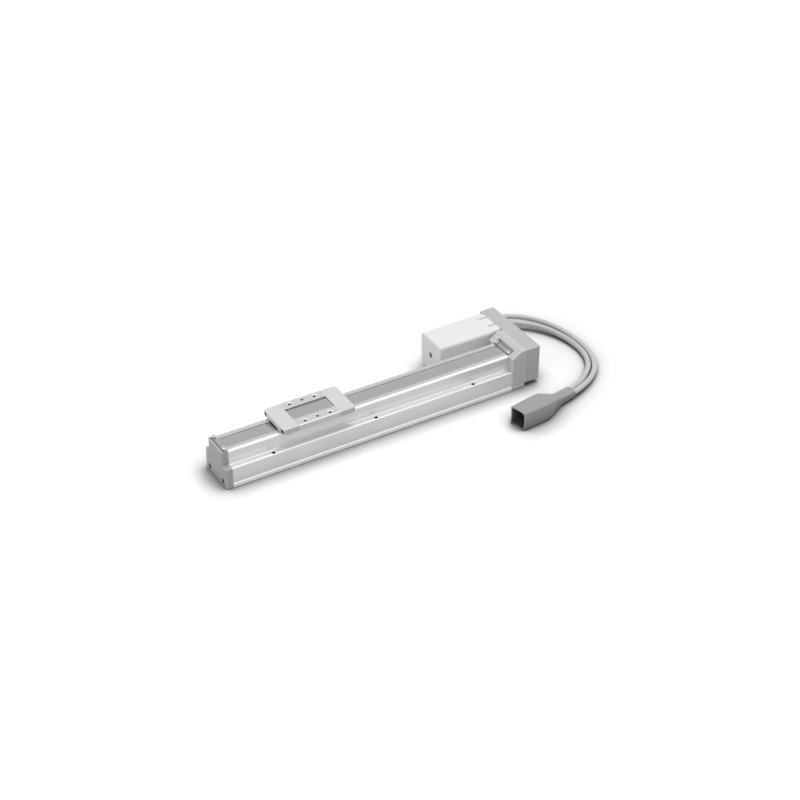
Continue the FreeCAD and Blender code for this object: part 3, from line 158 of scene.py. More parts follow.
def make_crevice():
    """Shade in tight corners: how much of the sky near a point its neighbours leave open, carried from
    a low value in gaps to one on open faces."""
    starts = {"Reach": 1.6 * mm, "Closed": 0.15, "Open": 0.62, "Depth": 0.3}
    tree, given, put_out = new_group("crevice", starts, {"Light": "Float"})
    open_sky = tree.nodes.new("ShaderNodeAmbientOcclusion")
    open_sky.samples = 6
    feed(tree, open_sky.inputs["Distance"], given["Reach"])
    light = map_range(tree, open_sky.outputs["AO"], given["Closed"], given["Open"], given["Depth"], 1.0)
    feed(tree, put_out["Light"], light)
    return tree


def distance_from(tree, first, second):
    """Length of a flat vector from its two parts."""
    squares = [arithmetic(tree, "MULTIPLY", part, part) for part in (first, second)]
    return arithmetic(tree, "SQRT", arithmetic(tree, "ADD", *squares))


def place_parts(tree):
    """A point's place along the piece, its distance from the middle plane and its height."""
    parts = tree.nodes.new("ShaderNodeSeparateXYZ")
    feed(tree, parts.inputs["Vector"], own_place(tree))
    return parts.outputs["X"], arithmetic(tree, "ABSOLUTE", parts.outputs["Y"]), parts.outputs["Z"]


def make_long_edge():
    """Lines along the piece: a mask where a point lies near a given half width and height of the section,
    on both sides alike, with a soft border."""
    starts = {"Half width": 0.0, "Height": 0.0, "Reach": 0.0}
    tree, given, put_out = new_group("long_edge", starts, {"Mask": "Float"})
    side, height = place_parts(tree)[1:]
    across = arithmetic(tree, "SUBTRACT", side, given["Half width"])
    above = arithmetic(tree, "SUBTRACT", height, given["Height"])
    share = arithmetic(tree, "DIVIDE", distance_from(tree, across, above), given["Reach"])
    full_share = 0.7
    feed(tree, put_out["Mask"], map_range(tree, share, 1.0, full_share, 0.0, 1.0))
    return tree


def make_hole_row():
    """Holes in two long rows: a mask within a radius of evenly spaced upright axes, below a level."""
    starts = {"Start": 0.0, "Pitch": 0.0, "Half spacing": 0.0, "Radius": 0.0, "Level": 0.0}
    tree, given, put_out = new_group("hole_row", starts, {"Mask": "Float"})
    along, side, height = place_parts(tree)
    half_pitch = arithmetic(tree, "MULTIPLY", given["Pitch"], 0.5)
    low_end = arithmetic(tree, "MULTIPLY", given["Pitch"], -0.5)
    shifted = arithmetic(tree, "SUBTRACT", along, given["Start"])
    from_hole = arithmetic(tree, "WRAP", shifted, half_pitch, low_end)
    across = arithmetic(tree, "SUBTRACT", side, given["Half spacing"])
    inside = arithmetic(tree, "LESS_THAN", distance_from(tree, from_hole, across), given["Radius"])
    below = arithmetic(tree, "LESS_THAN", height, given["Level"])
    feed(tree, put_out["Mask"], arithmetic(tree, "MULTIPLY", inside, below))
    return tree


edge_wear_and_highlight = make_edge_wear_and_highlight()
grain = make_grain()
crevice = make_crevice()
long_edge = make_long_edge()
hole_row = make_hole_row()


def grey(level):
    """Colour of a grey level."""
    return (level, level, level, 1.0)


def mixed(tree, factor, first, second, blend="MIX"):
    """Colour that goes from the first to the second, or to their blend, with a factor."""
    node = tree.nodes.new("ShaderNodeMix")
    node.data_type = "RGBA"
    node.blend_type = blend
    for label, value in (("Factor", factor), ("A", first), ("B", second)):
        feed(tree, node.inputs[label], value)
    return node.outputs["Result"]


def surface(
    name, dark, light, edge, metallic, roughness, stretch, relief, rounding=0.4 * mm, marks=(), corners=None,
):
    """Material of one finish: patches and streaks between a dark and a light colour, pale edges that are
    worn by rubbing and carry a painted highlight, roughness between two values and a shallow relief.
    Marks are groups that lay a colour where their mask is, each given with its values and its colour;
    here they lay painted light and shade. Corners are values for the painted shade in gaps."""
    material = bpy.data.materials.new(name)
    material.use_nodes = True
    tree = material.node_tree
    shader = tree.nodes["Principled BSDF"]
    shader.inputs["Metallic"].default_value = metallic
    texture = placed(tree, grain, {"Stretch": stretch})
    edge_wear_highlight = placed(tree, edge_wear_and_highlight, {"Radius": rounding})
    low_noise = 0.3
    high_noise = 0.7
    patch = map_range(tree, texture["Shade"], low_noise, high_noise, 0.0, 1.0)
    streak = map_range(tree, texture["Relief"], low_noise, high_noise, 0.0, 1.0)
    colour = mixed(tree, streak, mixed(tree, patch, dark, light), light)
    # pale edges: worn by rubbing, and a painted highlight
    colour = mixed(tree, edge_wear_highlight["Mask"], colour, edge)
    for group, values, mark_colour in marks:
        colour = mixed(tree, placed(tree, group, values)["Mask"], colour, mark_colour)
    shade = placed(tree, crevice, corners or {})["Light"]
    feed(tree, shader.inputs["Base Color"], mixed(tree, 1.0, colour, shade, "MULTIPLY"))
    rough = map_range(tree, texture["Relief"], low_noise, high_noise, *roughness)
    feed(tree, shader.inputs["Roughness"], rough)
    bump = tree.nodes.new("ShaderNodeBump")
    relief_height = 0.05 * mm
    bump.inputs["Strength"].default_value = relief
    bump.inputs["Distance"].default_value = relief_height
    feed(tree, bump.inputs["Height"], texture["Relief"])
    feed(tree, bump.inputs["Normal"], edge_wear_highlight["Normal"])
    feed(tree, shader.inputs["Normal"], bump.outputs["Normal"])
    return material


def dress(material, *names):
    """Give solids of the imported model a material."""
    for name in names:
        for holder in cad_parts[name].material_slots:
            holder.material = material


draw_lines = (25.0, 2500.0, 2500.0)
painted_light = grey(0.98)
painted_ledge_highlight = grey(0.86)
painted_rim_shade = grey(0.54)
painted_bounce_light = grey(0.83)
painted_hole_shade = grey(0.03)
rail_marks = [
    (long_edge, {"Half width": half_width * mm, "Height": height * mm, "Reach": reach * mm}, finish)
    for half_width, height, reach, finish in (
        # the top's rims in painted shade and the upper walls in painted bounce light, then painted highlights
        # on the edges from top to foot and painted light on the foot's strip
        (9.1, 34.0, 3.2, painted_rim_shade), (13.0, 23.2, 3.4, painted_bounce_light),
        (12.6, 33.0, 0.9, painted_light), (19.0, 19.6, 0.75, painted_ledge_highlight),
        (19.7, 4.5, 0.6, painted_light), (20.0, 2.2, 2.4, painted_light),
    )
]
# the mounting holes darkened: painted shade in the bores
mount_holes = {"Pitch": 100 * mm, "Half spacing": 17 * mm, "Radius": 1.8 * mm, "Level": 19.8 * mm}
rail_marks.append((hole_row, mount_holes, painted_hole_shade))
extruded = surface(
    "extruded_aluminium", grey(0.66), grey(0.74), edge=grey(0.9), metallic=0.42, roughness=(0.3, 0.42),
    stretch=draw_lines, relief=0.15, rounding=0.5 * mm, marks=rail_marks,
)
dress(extruded, "base_rail")

# Guide and saddle: a ground steel rail and block with moulded end caps, and on the block a sawn
# aluminium saddle, which carries the table and holds the nut. Rubber stops end the travel.
ground_steel = surface(
    "ground_steel", grey(0.45), grey(0.56), edge=grey(0.7), metallic=1.0, roughness=(0.18, 0.3),
    stretch=(60.0, 3000.0, 3000.0), relief=0.1,
)
dress(ground_steel, "guide_rail", "guide_block")


def even(scale):
    """Grain of one scale along every axis."""
    return (scale, scale, scale)


moulded_black = surface(
    "moulded_black", grey(0.03), grey(0.045), edge=grey(0.08), metallic=0.0, roughness=(0.4, 0.55),
    stretch=even(900.0), relief=0.2,
)
dress(moulded_black, "guide_block_caps")
sawn = surface(
    "sawn_aluminium", grey(0.6), grey(0.68), edge=grey(0.85), metallic=0.8, roughness=(0.3, 0.42),
    stretch=draw_lines, relief=0.2,
)
dress(sawn, "saddle_block")
black_rubber = surface(
    "black_rubber", grey(0.02), grey(0.035), edge=grey(0.05), metallic=0.0, roughness=(0.6, 0.8),
    stretch=even(1500.0), relief=0.3,
)
dress(black_rubber, "end_bumpers")

# Ball screw: one hardened shaft with two ball tracks rolled into it, ground down to plain journals for
# its bearings and for the pulley, with a small chamfer at each step. Nut and bearings are ground steel.
dress(ground_steel, "ball_nut", "end_bearing", "fixed_bearings", "bearing_retainer", "screw_lock_nut")
screw_axis = 22.5 * mm
track_lead = 10.0 * mm
track_starts = 2
track_round = 1.3 * mm
track_depth = 0.75 * mm
track_fade = 3.0 * mm
rows_per_track = 12
screw_columns = 30
step_chamfer = 0.25 * mm
screw_steps = np.array([
    # radius, start and end along the screw
    (2.5, -138.0, -132.5),
    (4.0, -132.5, 141.0),
    (3.0, 141.0, 156.5),
    (2.5, 156.5, 165.5),
]) * mm
shaft_radius, shaft_start, shaft_end = screw_steps[1]


def new_piece(name, points, faces, material, smooth_angle=35.0):
    """Mesh object at the origin from points and blocks of like faces, shaded smooth up to an angle."""
    mesh = bpy.data.meshes.new(name)
    mesh.from_pydata(points.tolist(), [], [face for block in faces for face in block.tolist()])
    mesh.shade_smooth()
    mesh.set_sharp_from_angle(angle=math.radians(smooth_angle))
    mesh.materials.append(material)
    piece = bpy.data.objects.new(name, mesh)
    bpy.context.scene.collection.objects.link(piece)
    return piece


def skin(rings):
    """Surface through closed loops, one row each, with a middle point that closes the first and last."""
    rows, columns = rings.shape[:2]
    points = np.vstack([rings.reshape(-1, 3), rings[0].mean(axis=0), rings[-1].mean(axis=0)])
    row, column = np.meshgrid(np.arange(rows - 1), np.arange(columns), indexing="ij")
    after = (column + 1) % columns
    this_row = row * columns
    next_row = this_row + columns
    corners = [this_row + column, this_row + after, next_row + after, next_row + column]
    quads = np.stack(corners, axis=-1).reshape(-1, 4)
    edge = np.arange(columns)
    next_edge = (edge + 1) % columns
    last_row = (rows - 1) * columns
    middle = np.full(columns, rows * columns)
    first_cap = np.stack([middle, next_edge, edge], axis=-1)
    last_cap = np.stack([middle + 1, last_row + edge, last_row + next_edge], axis=-1)
    return points, [quads, first_cap, last_cap]


def screw_rings():
    """Rings about the screw's axis: each step is a straight run between two chamfers. On the shaft a round
    groove is taken off the radius near each helix, by the distance along the axis, and it fades out
    towards both ends."""
    turns = np.linspace(0, 2 * math.pi, screw_columns, endpoint=False)
    pitch = track_lead / track_starts
    places = []
    radii = []
    for radius, start, end in screw_steps:
        rows = round((end - start) / pitch * rows_per_track) if radius == shaft_radius else 2
        run = np.linspace(start + step_chamfer, end - step_chamfer, rows)
        places.append(np.concatenate([[start], run, [end]]))
        radii.append(radius - step_chamfer * np.isin(places[-1], (start, end)))
    along = np.concatenate(places)[:, None]
    from_helix = ((along - track_lead * turns / (2 * math.pi)) / pitch % 1.0 - 0.5) * pitch
    groove = np.sqrt(np.maximum(track_round**2 - from_helix**2, 0)) - (track_round - track_depth)
    fade = np.clip(np.minimum(along - shaft_start, shaft_end - along) / track_fade - 1, 0, 1)
    reach = np.concatenate(radii)[:, None] - np.maximum(groove, 0) * fade
    along = np.broadcast_to(along, reach.shape)
    return np.stack([along, reach * np.cos(turns), screw_axis + reach * np.sin(turns)], axis=-1)


screw_shaft = new_piece("ball_screw_shaft", *skin(screw_rings()), ground_steel)
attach(screw_shaft, "screw")
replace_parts(screw_shaft, "ball_screw")

# Cast ends: the end cap, the drive block with the motor flange and the pulley cover are die-cast
# aluminium with a fine blasted skin under grey paint, each from its own batch.
cast_paints = {
    # dark, light, and the edge colour: worn by rubbing, with a painted highlight
    "end_cap": (0.37, 0.42, 0.7),
    "drive_block": (0.52, 0.57, 0.96),
    "pulley_cover": (0.46, 0.5, 0.94),
}
for name, (dark, light, edge_tone) in cast_paints.items():
    paint = surface(
        name + "_paint", grey(dark), grey(light), edge=grey(edge_tone), metallic=0.1, roughness=(0.5, 0.62),
        stretch=even(1100.0), relief=0.25, rounding=0.9 * mm,
    )
    dress(paint, name)

# Pulleys and belt: two toothed pulleys of turned and hobbed aluminium on the screw and on the motor's
# shaft, joined by a loop of black rubber.
turned = surface(
    "turned_aluminium", grey(0.62), grey(0.7), edge=grey(0.85), metallic=1.0, roughness=(0.25, 0.38),
    stretch=(2500.0, 200.0, 200.0), relief=0.1,
)
dress(turned, "screw_pulley", "motor_pulley")
dress(black_rubber, "drive_belt")

# Seal band: one thin strip of spring steel, rolled bright, which lies in the rail's seat, climbs over
# the table's web inside the covers and is clamped by a ground bar at both ends. It is made as a hump
# that rides on the table and two flat lengths that stretch between the hump and the clamps.
band_steel = surface(
    "rolled_band_steel", grey(0.36), grey(0.41), edge=grey(0.6), metallic=1.0, roughness=(0.16, 0.26),
    stretch=(12.0, 3500.0, 3500.0), relief=0.1, rounding=0.1 * mm,
)
band_half_width = 7.0 * mm
band_thickness = 0.3 * mm
band_seat = 33.4 * mm
band_end = 143.6 * mm
band_bend = 4.0 * mm
bend_steps = 7
edge_steps = 7
table_rest = -55.5 * mm
ramp_lead = 1.5 * mm
ramp_foot = 33.1 * mm
ramp_head = 21.2 * mm
web_top = 38.8 * mm


def bent_line(corners, radius, steps):
    """Points of a line whose corners are arcs of one radius: each arc turns evenly between its runs.
    Also the normal of the line at each point, in the XZ plane."""
    corners = np.array(corners, float)
    runs = np.diff(corners, axis=0)
    headings = np.arctan2(runs[:, 1], runs[:, 0])
    turns = np.diff(headings)
    setbacks = radius * np.tan(np.abs(turns) / 2)
    units = np.stack([np.cos(headings), np.sin(headings)], axis=-1)
    starts = corners[1:-1] - units[:-1] * setbacks[:, None]
    sides = np.sign(turns)[:, None] * radius
    centres = starts + np.stack([-units[:-1, 1], units[:-1, 0]], axis=-1) * sides
    angles = headings[:-1, None] + turns[:, None] * np.linspace(0, 1, steps)
    normals = np.stack([-np.sin(angles), np.cos(angles)], axis=-1)
    arcs = centres[:, None] - normals * sides[:, None]
    ends = np.stack([-np.sin(headings[[0, -1]]), np.cos(headings[[0, -1]])], axis=-1)
    points = np.vstack([corners[:1], arcs.reshape(-1, 2), corners[-1:]])
    return points, np.vstack([ends[:1], normals.reshape(-1, 2), ends[1:]])


def band_strip(name, line, normals):
    """Strip of even thickness: a thin section with half-round edges carried along a line in the XZ plane."""
    edge = band_thickness / 2
    flat = band_half_width - edge
    turn = np.linspace(-math.pi / 2, math.pi / 2, edge_steps)
    bulge = edge * np.cos(turn)
    across = np.concatenate([flat + bulge, -flat - bulge])
    lift = edge + np.concatenate([edge * np.sin(turn), -edge * np.sin(turn)])
    rings = np.empty((len(line), len(across), 3))
    rings[..., 0] = line[:, None, 0] + normals[:, None, 0] * lift
    rings[..., 1] = across
    rings[..., 2] = line[:, None, 1] + normals[:, None, 1] * lift
    piece = new_piece(name, *skin(rings), band_steel)
    return piece


upright = np.array([[0.0, 1.0], [0.0, 1.0]])
for side, sign in (("left", -1), ("right", 1)):
    clamped = (sign * band_end, band_seat)
    joined = (table_rest + sign * (ramp_foot + ramp_lead), band_seat)
    strip = band_strip("seal_band_" + side, np.array(sorted([clamped, joined])), upright)
    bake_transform(strip)
ramp = [(ramp_foot + ramp_lead, band_seat), (ramp_foot, band_seat), (ramp_head, web_top)]
hump_corners = [(table_rest - x, z) for x, z in ramp] + [(table_rest + x, z) for x, z in ramp[::-1]]
hump_band = band_strip("seal_band_over_table", *bent_line(hump_corners, band_bend, bend_steps))
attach(hump_band, "table")
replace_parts(hump_band, "seal_band")
clamp_steel = surface(
    "ground_clamp_steel", grey(0.32), grey(0.38), edge=grey(0.95), metallic=1.0, roughness=(0.28, 0.4),
    stretch=(2500.0, 60.0, 2500.0), relief=0.1,
)
dress(clamp_steel, "left_band_clamp", "right_band_clamp")

# Table: a milled aluminium plate with a sunk window for the band, cut threads and pin holes, between two
# moulded end covers in the same light grey. Black plastic shoes in the covers press the band down.
hole_half_spacing = 14 * mm
hole_half_pitch = 12 * mm
countersinks = {
    "Start": table_rest + hole_half_pitch, "Pitch": 2 * hole_half_pitch, "Half spacing": hole_half_spacing,
    "Radius": 2.4 * mm, "Level": 39.97 * mm,
}
pin_bores = countersinks | {"Start": table_rest, "Radius": 1.6 * mm}
window_floor = {"Half width": 7.75 * mm, "Height": web_top, "Reach": 1.2 * mm}
table_side = {"Half width": 18.9 * mm, "Height": 37.1 * mm, "Reach": 2.5 * mm}
table_edge_highlight = {"Half width": 18.4 * mm, "Height": 39.9 * mm, "Reach": 0.6 * mm}
milled = surface(
    "milled_aluminium", grey(0.53), grey(0.59), edge=grey(0.95), metallic=0.2, roughness=(0.4, 0.52),
    stretch=(700.0, 900.0, 900.0), relief=0.15, rounding=0.5 * mm,
    marks=[
        # painted highlights on the countersinks and the top edges, painted shade in the pin holes and at the
        # window's floor edges, and painted light on the plate's sides
        (hole_row, countersinks, grey(0.97)), (hole_row, pin_bores, grey(0.5)),
        (long_edge, window_floor, grey(0.24)), (long_edge, table_side, grey(0.63)),
        (long_edge, table_edge_highlight, grey(0.98)),
    ],
)
dress(milled, "table_plate")
cut_thread = surface(
    "cut_thread_aluminium", grey(0.27), grey(0.35), edge=grey(0.48), metallic=0.7, roughness=(0.3, 0.42),
    stretch=(900.0, 900.0, 200.0), relief=0.1, rounding=0.1 * mm,
)
thread_pitch = 0.7 * mm
thread_root = 1.64 * mm
thread_crest = 1.46 * mm
thread_top = 39.38 * mm
thread_bottom = 35.22 * mm
thread_floor = 0.1 * mm
thread_columns = 36
thread_rows = 55


def hole_thread():
    """Thread in one hole about +Z, a thin cup: its outside is straight, and its inside radius goes from
    root to crest and back over each pitch of height, moved on by one pitch in each turn."""
    turns = np.linspace(0, 2 * math.pi, thread_columns, endpoint=False)
    heights = np.linspace(thread_top, thread_bottom + thread_floor, thread_rows)[:, None]
    phase = (heights / thread_pitch - turns / (2 * math.pi)) % 1.0
    inside = thread_root - (thread_root - thread_crest) * (1 - np.abs(2 * phase - 1))
    outside = np.full((2, thread_columns), thread_root)
    radius = np.vstack([outside, inside])
    rise = np.broadcast_to(np.vstack([[[thread_bottom], [thread_top]], heights]), radius.shape)
    return np.stack([radius * np.cos(turns), radius * np.sin(turns), rise], axis=-1)


def copies(points, faces, places):
    """The same closed shape at several places, as the points and faces of one mesh."""
    every_point = (places[:, None] + points).reshape(-1, 3)
    offsets = len(points) * np.arange(len(places))[:, None, None]
    every_face = [(offsets + block).reshape(-1, block.shape[1]) for block in faces]
    return every_point, every_face


hole_places = np.array([
    (table_rest + x, y, 0.0)
    for x in (-hole_half_pitch, hole_half_pitch) for y in (-hole_half_spacing, hole_half_spacing)
])
threads = new_piece("table_hole_threads", *copies(*skin(hole_thread()), hole_places), cut_thread)
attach(threads, "table")
# The covers' sides are darkened with painted shade.
cover_grey = surface(
    "moulded_light_grey", grey(0.63), grey(0.68), edge=grey(0.85), metallic=0.0, roughness=(0.42, 0.55),
    stretch=even(1200.0), relief=0.2, rounding=0.5 * mm, marks=[(long_edge, table_side, grey(0.56))],
)
dress(cover_grey, "left_table_cover", "right_table_cover")
dress(moulded_black, "band_guides")

# Motor and its cover: a black painted motor with a ground shaft and a moulded encoder cap, under a
# moulded off-white box that clips over the motor flange.
motor_paint = surface(
    "black_motor_paint", grey(0.03), grey(0.05), edge=grey(0.12), metallic=0.3, roughness=(0.35, 0.5),
    stretch=even(1200.0), relief=0.2,
)
dress(motor_paint, "motor_body")
dress(ground_steel, "motor_shaft")
dress(moulded_black, "motor_encoder")
cover_white = surface(
    "moulded_off_white", grey(0.78), grey(0.83), edge=grey(0.9), metallic=0.0, roughness=(0.4, 0.52),
    stretch=even(1300.0), relief=0.18,
)
dress(cover_white, "motor_cover")

# Socket screws: cold-headed steel cap screws with a knurled head and a hexagon socket, in
# counterbores and on the clamp bars. Those inside the housings are the plain solids.
bright_screw = surface(
    "zinc_plated_steel", grey(0.66), grey(0.76), edge=grey(0.9), metallic=0.9, roughness=(0.22, 0.34),
    stretch=even(900.0), relief=0.15, rounding=0.12 * mm,
    # a wide painted shade round the heads
    corners={"Reach": 2.4 * mm, "Closed": 0.35, "Open": 0.9, "Depth": 0.12},
)
black_screw = surface(
    "black_oxide_steel", grey(0.04), grey(0.06), edge=grey(0.2), metallic=0.6, roughness=(0.32, 0.45),
    stretch=even(900.0), relief=0.15, rounding=0.12 * mm,
)
dress(black_screw, "drive_block_screws", "motor_screws", "saddle_screws")
screw_turns = np.linspace(0, 2 * math.pi, 48, endpoint=False)
knurl_ridges = 24
hexagon_half = math.pi / 6
screw_smooth_angle = 30.0
# radii of the thread and the head, height of the head, radius of the socket
small_screw = np.array([1.0, 1.9, 1.6, 0.87]) * mm
medium_screw = np.array([1.25, 2.25, 2.2, 1.15]) * mm


def socket_screw(size, length):
    """One screw about +Z with its seat at zero: rings of its turned profile from tip to socket. A ring's
    radius blends from a circle to a hexagon in the socket, and ripples on the knurled head."""
    thread, head, height, socket = size
    edge = 0.08 * head
    depth = 0.55 * height
    knurl_depth = 0.012 * head
    profile = np.array([
        # radius, height, share of hexagon, knurl
        (0.6 * thread, -length, 0, 0),
        (thread, -length + 0.4 * thread, 0, 0),
        (thread, 0, 0, 0),
        (head - edge / 2, 0, 0, 0),
        (head, edge / 2, 0, 1),
        (head, height - edge, 0, 1),
        (head - edge, height, 0, 0),
        (1.12 * socket, height, 0, 0),
        (socket, height - edge, 1, 0),
        (socket, height - depth, 1, 0),
        (0.3 * socket, height - depth - edge, 0, 0),
    ])
    radius, rise, hexagon, knurl = profile.T[:, :, None]
    flat = math.cos(hexagon_half) / np.cos(screw_turns % (2 * hexagon_half) - hexagon_half)
    ripple = knurl_depth * knurl * (np.cos(knurl_ridges * screw_turns) - 1)
    reach = radius * (1 + hexagon * (flat - 1)) + ripple
    rise = np.broadcast_to(rise, reach.shape)
    return np.stack([reach * np.cos(screw_turns), reach * np.sin(screw_turns), rise], axis=-1)


def screw_group(name, node, body, finish, size, length, seats, outward):
    """Copies of one screw at several seats, given in millimetres, with their heads outward. They stand for
    the plain screws of a node."""
    outward = np.array(outward, float)
    first = np.cross((0, 0, 1), outward) if abs(outward[2]) < 0.5 else np.array((1.0, 0, 0))
    rings = socket_screw(size, length) @ np.stack([first, np.cross(outward, first), outward])
    points, faces = copies(*skin(rings), np.array(seats) * mm)
    piece = new_piece(name, points, faces, finish, screw_smooth_angle)
    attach(piece, body)
    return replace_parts(piece, node)


screw_group(
    "end_cap_cap_screws", "end_cap_screws", "base", black_screw, medium_screw, length=12.0 * mm,
    seats=[(-144.0, y, 4.6) for y in (-12.5, 12.5)], outward=(-1, 0, 0),
)
screw_group(
    "band_clamp_cap_screws", "band_clamp_screws", "base", bright_screw, small_screw, length=6.2 * mm,
    seats=[(x, y, 34.9) for x in (-142.05, 142.05) for y in (-9.8, 9.8)], outward=(0, 0, 1),
)
for side, x, sign in (("left", -88.8, -1), ("right", -22.2, 1)):
    screw_group(
        side + "_table_cover_cap_screws", "table_cover_screws", "table", black_screw, small_screw,
        length=17.4 * mm, seats=[(x, y, 37.1) for y in (-15.2, 15.2)], outward=(sign, 0, 0),
    )
screw_group(
    "pulley_cover_cap_screws", "pulley_cover_screws", "base", black_screw, small_screw, length=17.6 * mm,
    seats=[(167.8, -15.2, 9.7), (167.8, -15.2, 33.6), (167.8, 51.2, 22.5)], outward=(1, 0, 0),
)

# Cables: two round leads with a smooth light grey jacket, from the rubber grommet in the motor cover
# round the drive end to the connector on the floor.
dress(black_rubber, "cable_grommet")
jacket = surface(
    "light_grey_jacket", grey(0.54), grey(0.6), edge=grey(0.64), metallic=0.0, roughness=(0.38, 0.5),
    stretch=even(500.0), relief=0.15,
)
cable_diameter = 5.0 * mm
cable_routes = {
    "motor_cable_run": [
        (114.5, 57.2, 11.0), (114.5, 70.0, 11.0), (128.0, 85.5, 9.0), (150.0, 88.5, 7.4), (178.0, 85.5, 6.9),
        (204.5, 79.0, 6.8), (223.8, 58.8, 6.0), (234.3, 34.3, 4.5), (237.8, 7.0, 3.1), (232.2, -18.9, 2.8),
        (217.8, -39.2, 2.9), (191.98, -54.25, 5.5), (181.73, -56.51, 5.5),
    ],
    "encoder_cable_run": [
        (120.5, 57.2, 11.0), (120.5, 66.2, 11.0), (125.1, 74.2, 10.3), (133.5, 79.3, 9.4), (152.0, 81.4, 8.2),
        (177.0, 76.8, 7.3), (201.0, 67.5, 6.7), (219.2, 50.0, 5.6), (229.5, 26.8, 3.9), (231.9, 0.0, 2.9),
        (224.0, -23.2, 2.8), (206.8, -38.6, 3.0), (190.86, -49.17, 5.5), (180.61, -51.43, 5.5),
    ],
}
cable_nodes = {"motor_cable_run": "motor_cable", "encoder_cable_run": "encoder_cable"}
cables = {}
for name, route in cable_routes.items():
    curve = bpy.data.curves.new(name, "CURVE")
    curve.dimensions = "3D"
    curve.bevel_depth = cable_diameter / 2
    curve.bevel_resolution = 6
    curve.use_fill_caps = True
    line = curve.splines.new("NURBS")
    line.points.add(len(route) - 1)
    line.points.foreach_set("co", np.hstack([np.array(route) * mm, np.ones((len(route), 1))]).ravel())
    line.order_u = 3
    line.use_endpoint_u = True
    line.resolution_u = 12
    curve.materials.append(jacket)
    cables[name] = bpy.data.objects.new(name, curve)
    bpy.context.scene.collection.objects.link(cables[name])
    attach(cables[name], "base")
    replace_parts(cables[name], cable_nodes[name])

# Connector: a moulded shroud with a square mouth and a flat underside, which bellies out to one side and
# narrows to a flat tail round both cables. A black insert and plated contacts sit deep inside. The
# shroud's outside darkens towards the floor with painted shade, its inside is the same moulding darkened
# with painted shade that deepens inwards, and the contacts are darkened with painted shade.
shroud = surface(
    "moulded_mid_grey", grey(0.31), grey(0.36), edge=grey(0.6), metallic=0.0, roughness=(0.5, 0.62),
    # painted shade that darkens the outside near the floor and in hollows
    stretch=even(1200.0), relief=0.2, corners={"Reach": 16.0 * mm, "Closed": 0.2, "Open": 1.0, "Depth": 0.1},
)
# the inside: the same grey moulding, darkened with painted shade
shroud_inside_shade = surface(
    "moulded_mid_grey_inside_shade", grey(0.1), grey(0.13), edge=grey(0.16), metallic=0.0, roughness=(0.5, 0.62),
    stretch=even(1200.0), relief=0.2, corners={"Reach": 14.0 * mm},
)
# contacts darkened with painted shade deep in the mouth
plated = surface(
    "plated_brass_in_shade", (0.1, 0.08, 0.05, 1.0), (0.13, 0.105, 0.065, 1.0), edge=(0.2, 0.165, 0.1, 1.0),
    metallic=1.0, roughness=(0.3, 0.42), stretch=even(900.0), relief=0.1,
)
dress(plated, "connector_contacts")
dress(moulded_black, "connector_insert")
mouth_place = np.array([112.8, -69.0, 0.0]) * mm
connector_turn = math.radians(12.4)
wall = 1.2 * mm
mouth_bow = 0.8 * mm
corner_ease = 2.6 * mm
# sizes of the section at stations from the mouth to the tail's end
stations = np.array([0.0, 26.0, 33.0, 50.0, 70.0]) * mm
half_widths = np.array([8.5, 10.1, 9.4, 5.3, 5.6]) * mm
half_heights = np.array([9.15, 9.15, 8.9, 4.9, 3.9]) * mm
middles = np.array([9.15, 9.15, 8.9, 5.2, 5.0]) * mm
sideways = np.array([0.0, -2.4, -2.1, -0.4, 0.0]) * mm
squareness = np.array([14.0, 14.0, 11.0, 5.0, 3.4])
around_section = np.linspace(0, 2 * math.pi, 96, endpoint=False)
# the tail's rounded end, the body and the mouth's rounded lip, then the inside from the lip to its floor
outer_places = np.concatenate([[70.0, 69.8, 69.3], np.linspace(68, 2, 56), [0.9, 0.25, 0.0]]) * mm
outer_inset = np.concatenate([[0.7, 0.25, 0.05], np.zeros(57), [0.03, 0.2]]) * mm
inner_places = np.concatenate([[0.0, 0.25, 0.9], np.linspace(2, 28, 14)]) * mm
inner_inset = wall - np.concatenate([[0.2, 0.03], np.zeros(15)]) * mm


def eased(places, values):
    """Straight runs between the stations, averaged over a short reach so that their corners are soft."""
    shifts = (-corner_ease, 0, corner_ease)
    return sum(np.interp(places + shift, stations, values) for shift in shifts)[:, None] / len(shifts)


def shroud_rings(places, inset):
    """Superellipses across the connector's axis: with a power n, the width and height terms sum to one.
    At the mouth their middles are drawn back by a parabola, so that each side of it is bowed."""
    width = eased(places, half_widths) - inset[:, None]
    height = eased(places, half_heights) - inset[:, None]
    power = eased(places, squareness)
    across = np.cos(around_section)
    lift = -np.sin(around_section)
    reach = ((np.abs(across) / width) ** power + (np.abs(lift) / height) ** power) ** (-1 / power)
    y = reach * across
    z = reach * lift
    bow = np.maximum(mouth_bow * (1 - (y / width) ** 2), mouth_bow * (1 - (z / height) ** 2))
    x = np.maximum(places[:, None], bow)
    return np.stack([x, y + eased(places, sideways), z + eased(places, middles)], axis=-1)


rings = np.vstack([shroud_rings(outer_places, outer_inset), shroud_rings(inner_places, inner_inset)])
turn_to_row = np.array([
    [math.cos(connector_turn), math.sin(connector_turn), 0],
    [-math.sin(connector_turn), math.cos(connector_turn), 0],
    [0, 0, 1],
])
connector = new_piece("connector_shroud", *skin(rings @ turn_to_row + mouth_place), shroud)
connector.data.materials.append(shroud_inside_shade)
columns = len(around_section)
is_inner = np.arange(len(connector.data.polygons)) >= (len(outer_places) + 1) * columns
tail_cap = slice(-2 * columns, -columns)
is_inner[tail_cap] = False
connector.data.polygons.foreach_set("material_index", is_inner.astype(np.int32))
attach(connector, "base")
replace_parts(connector, "connector_shell")

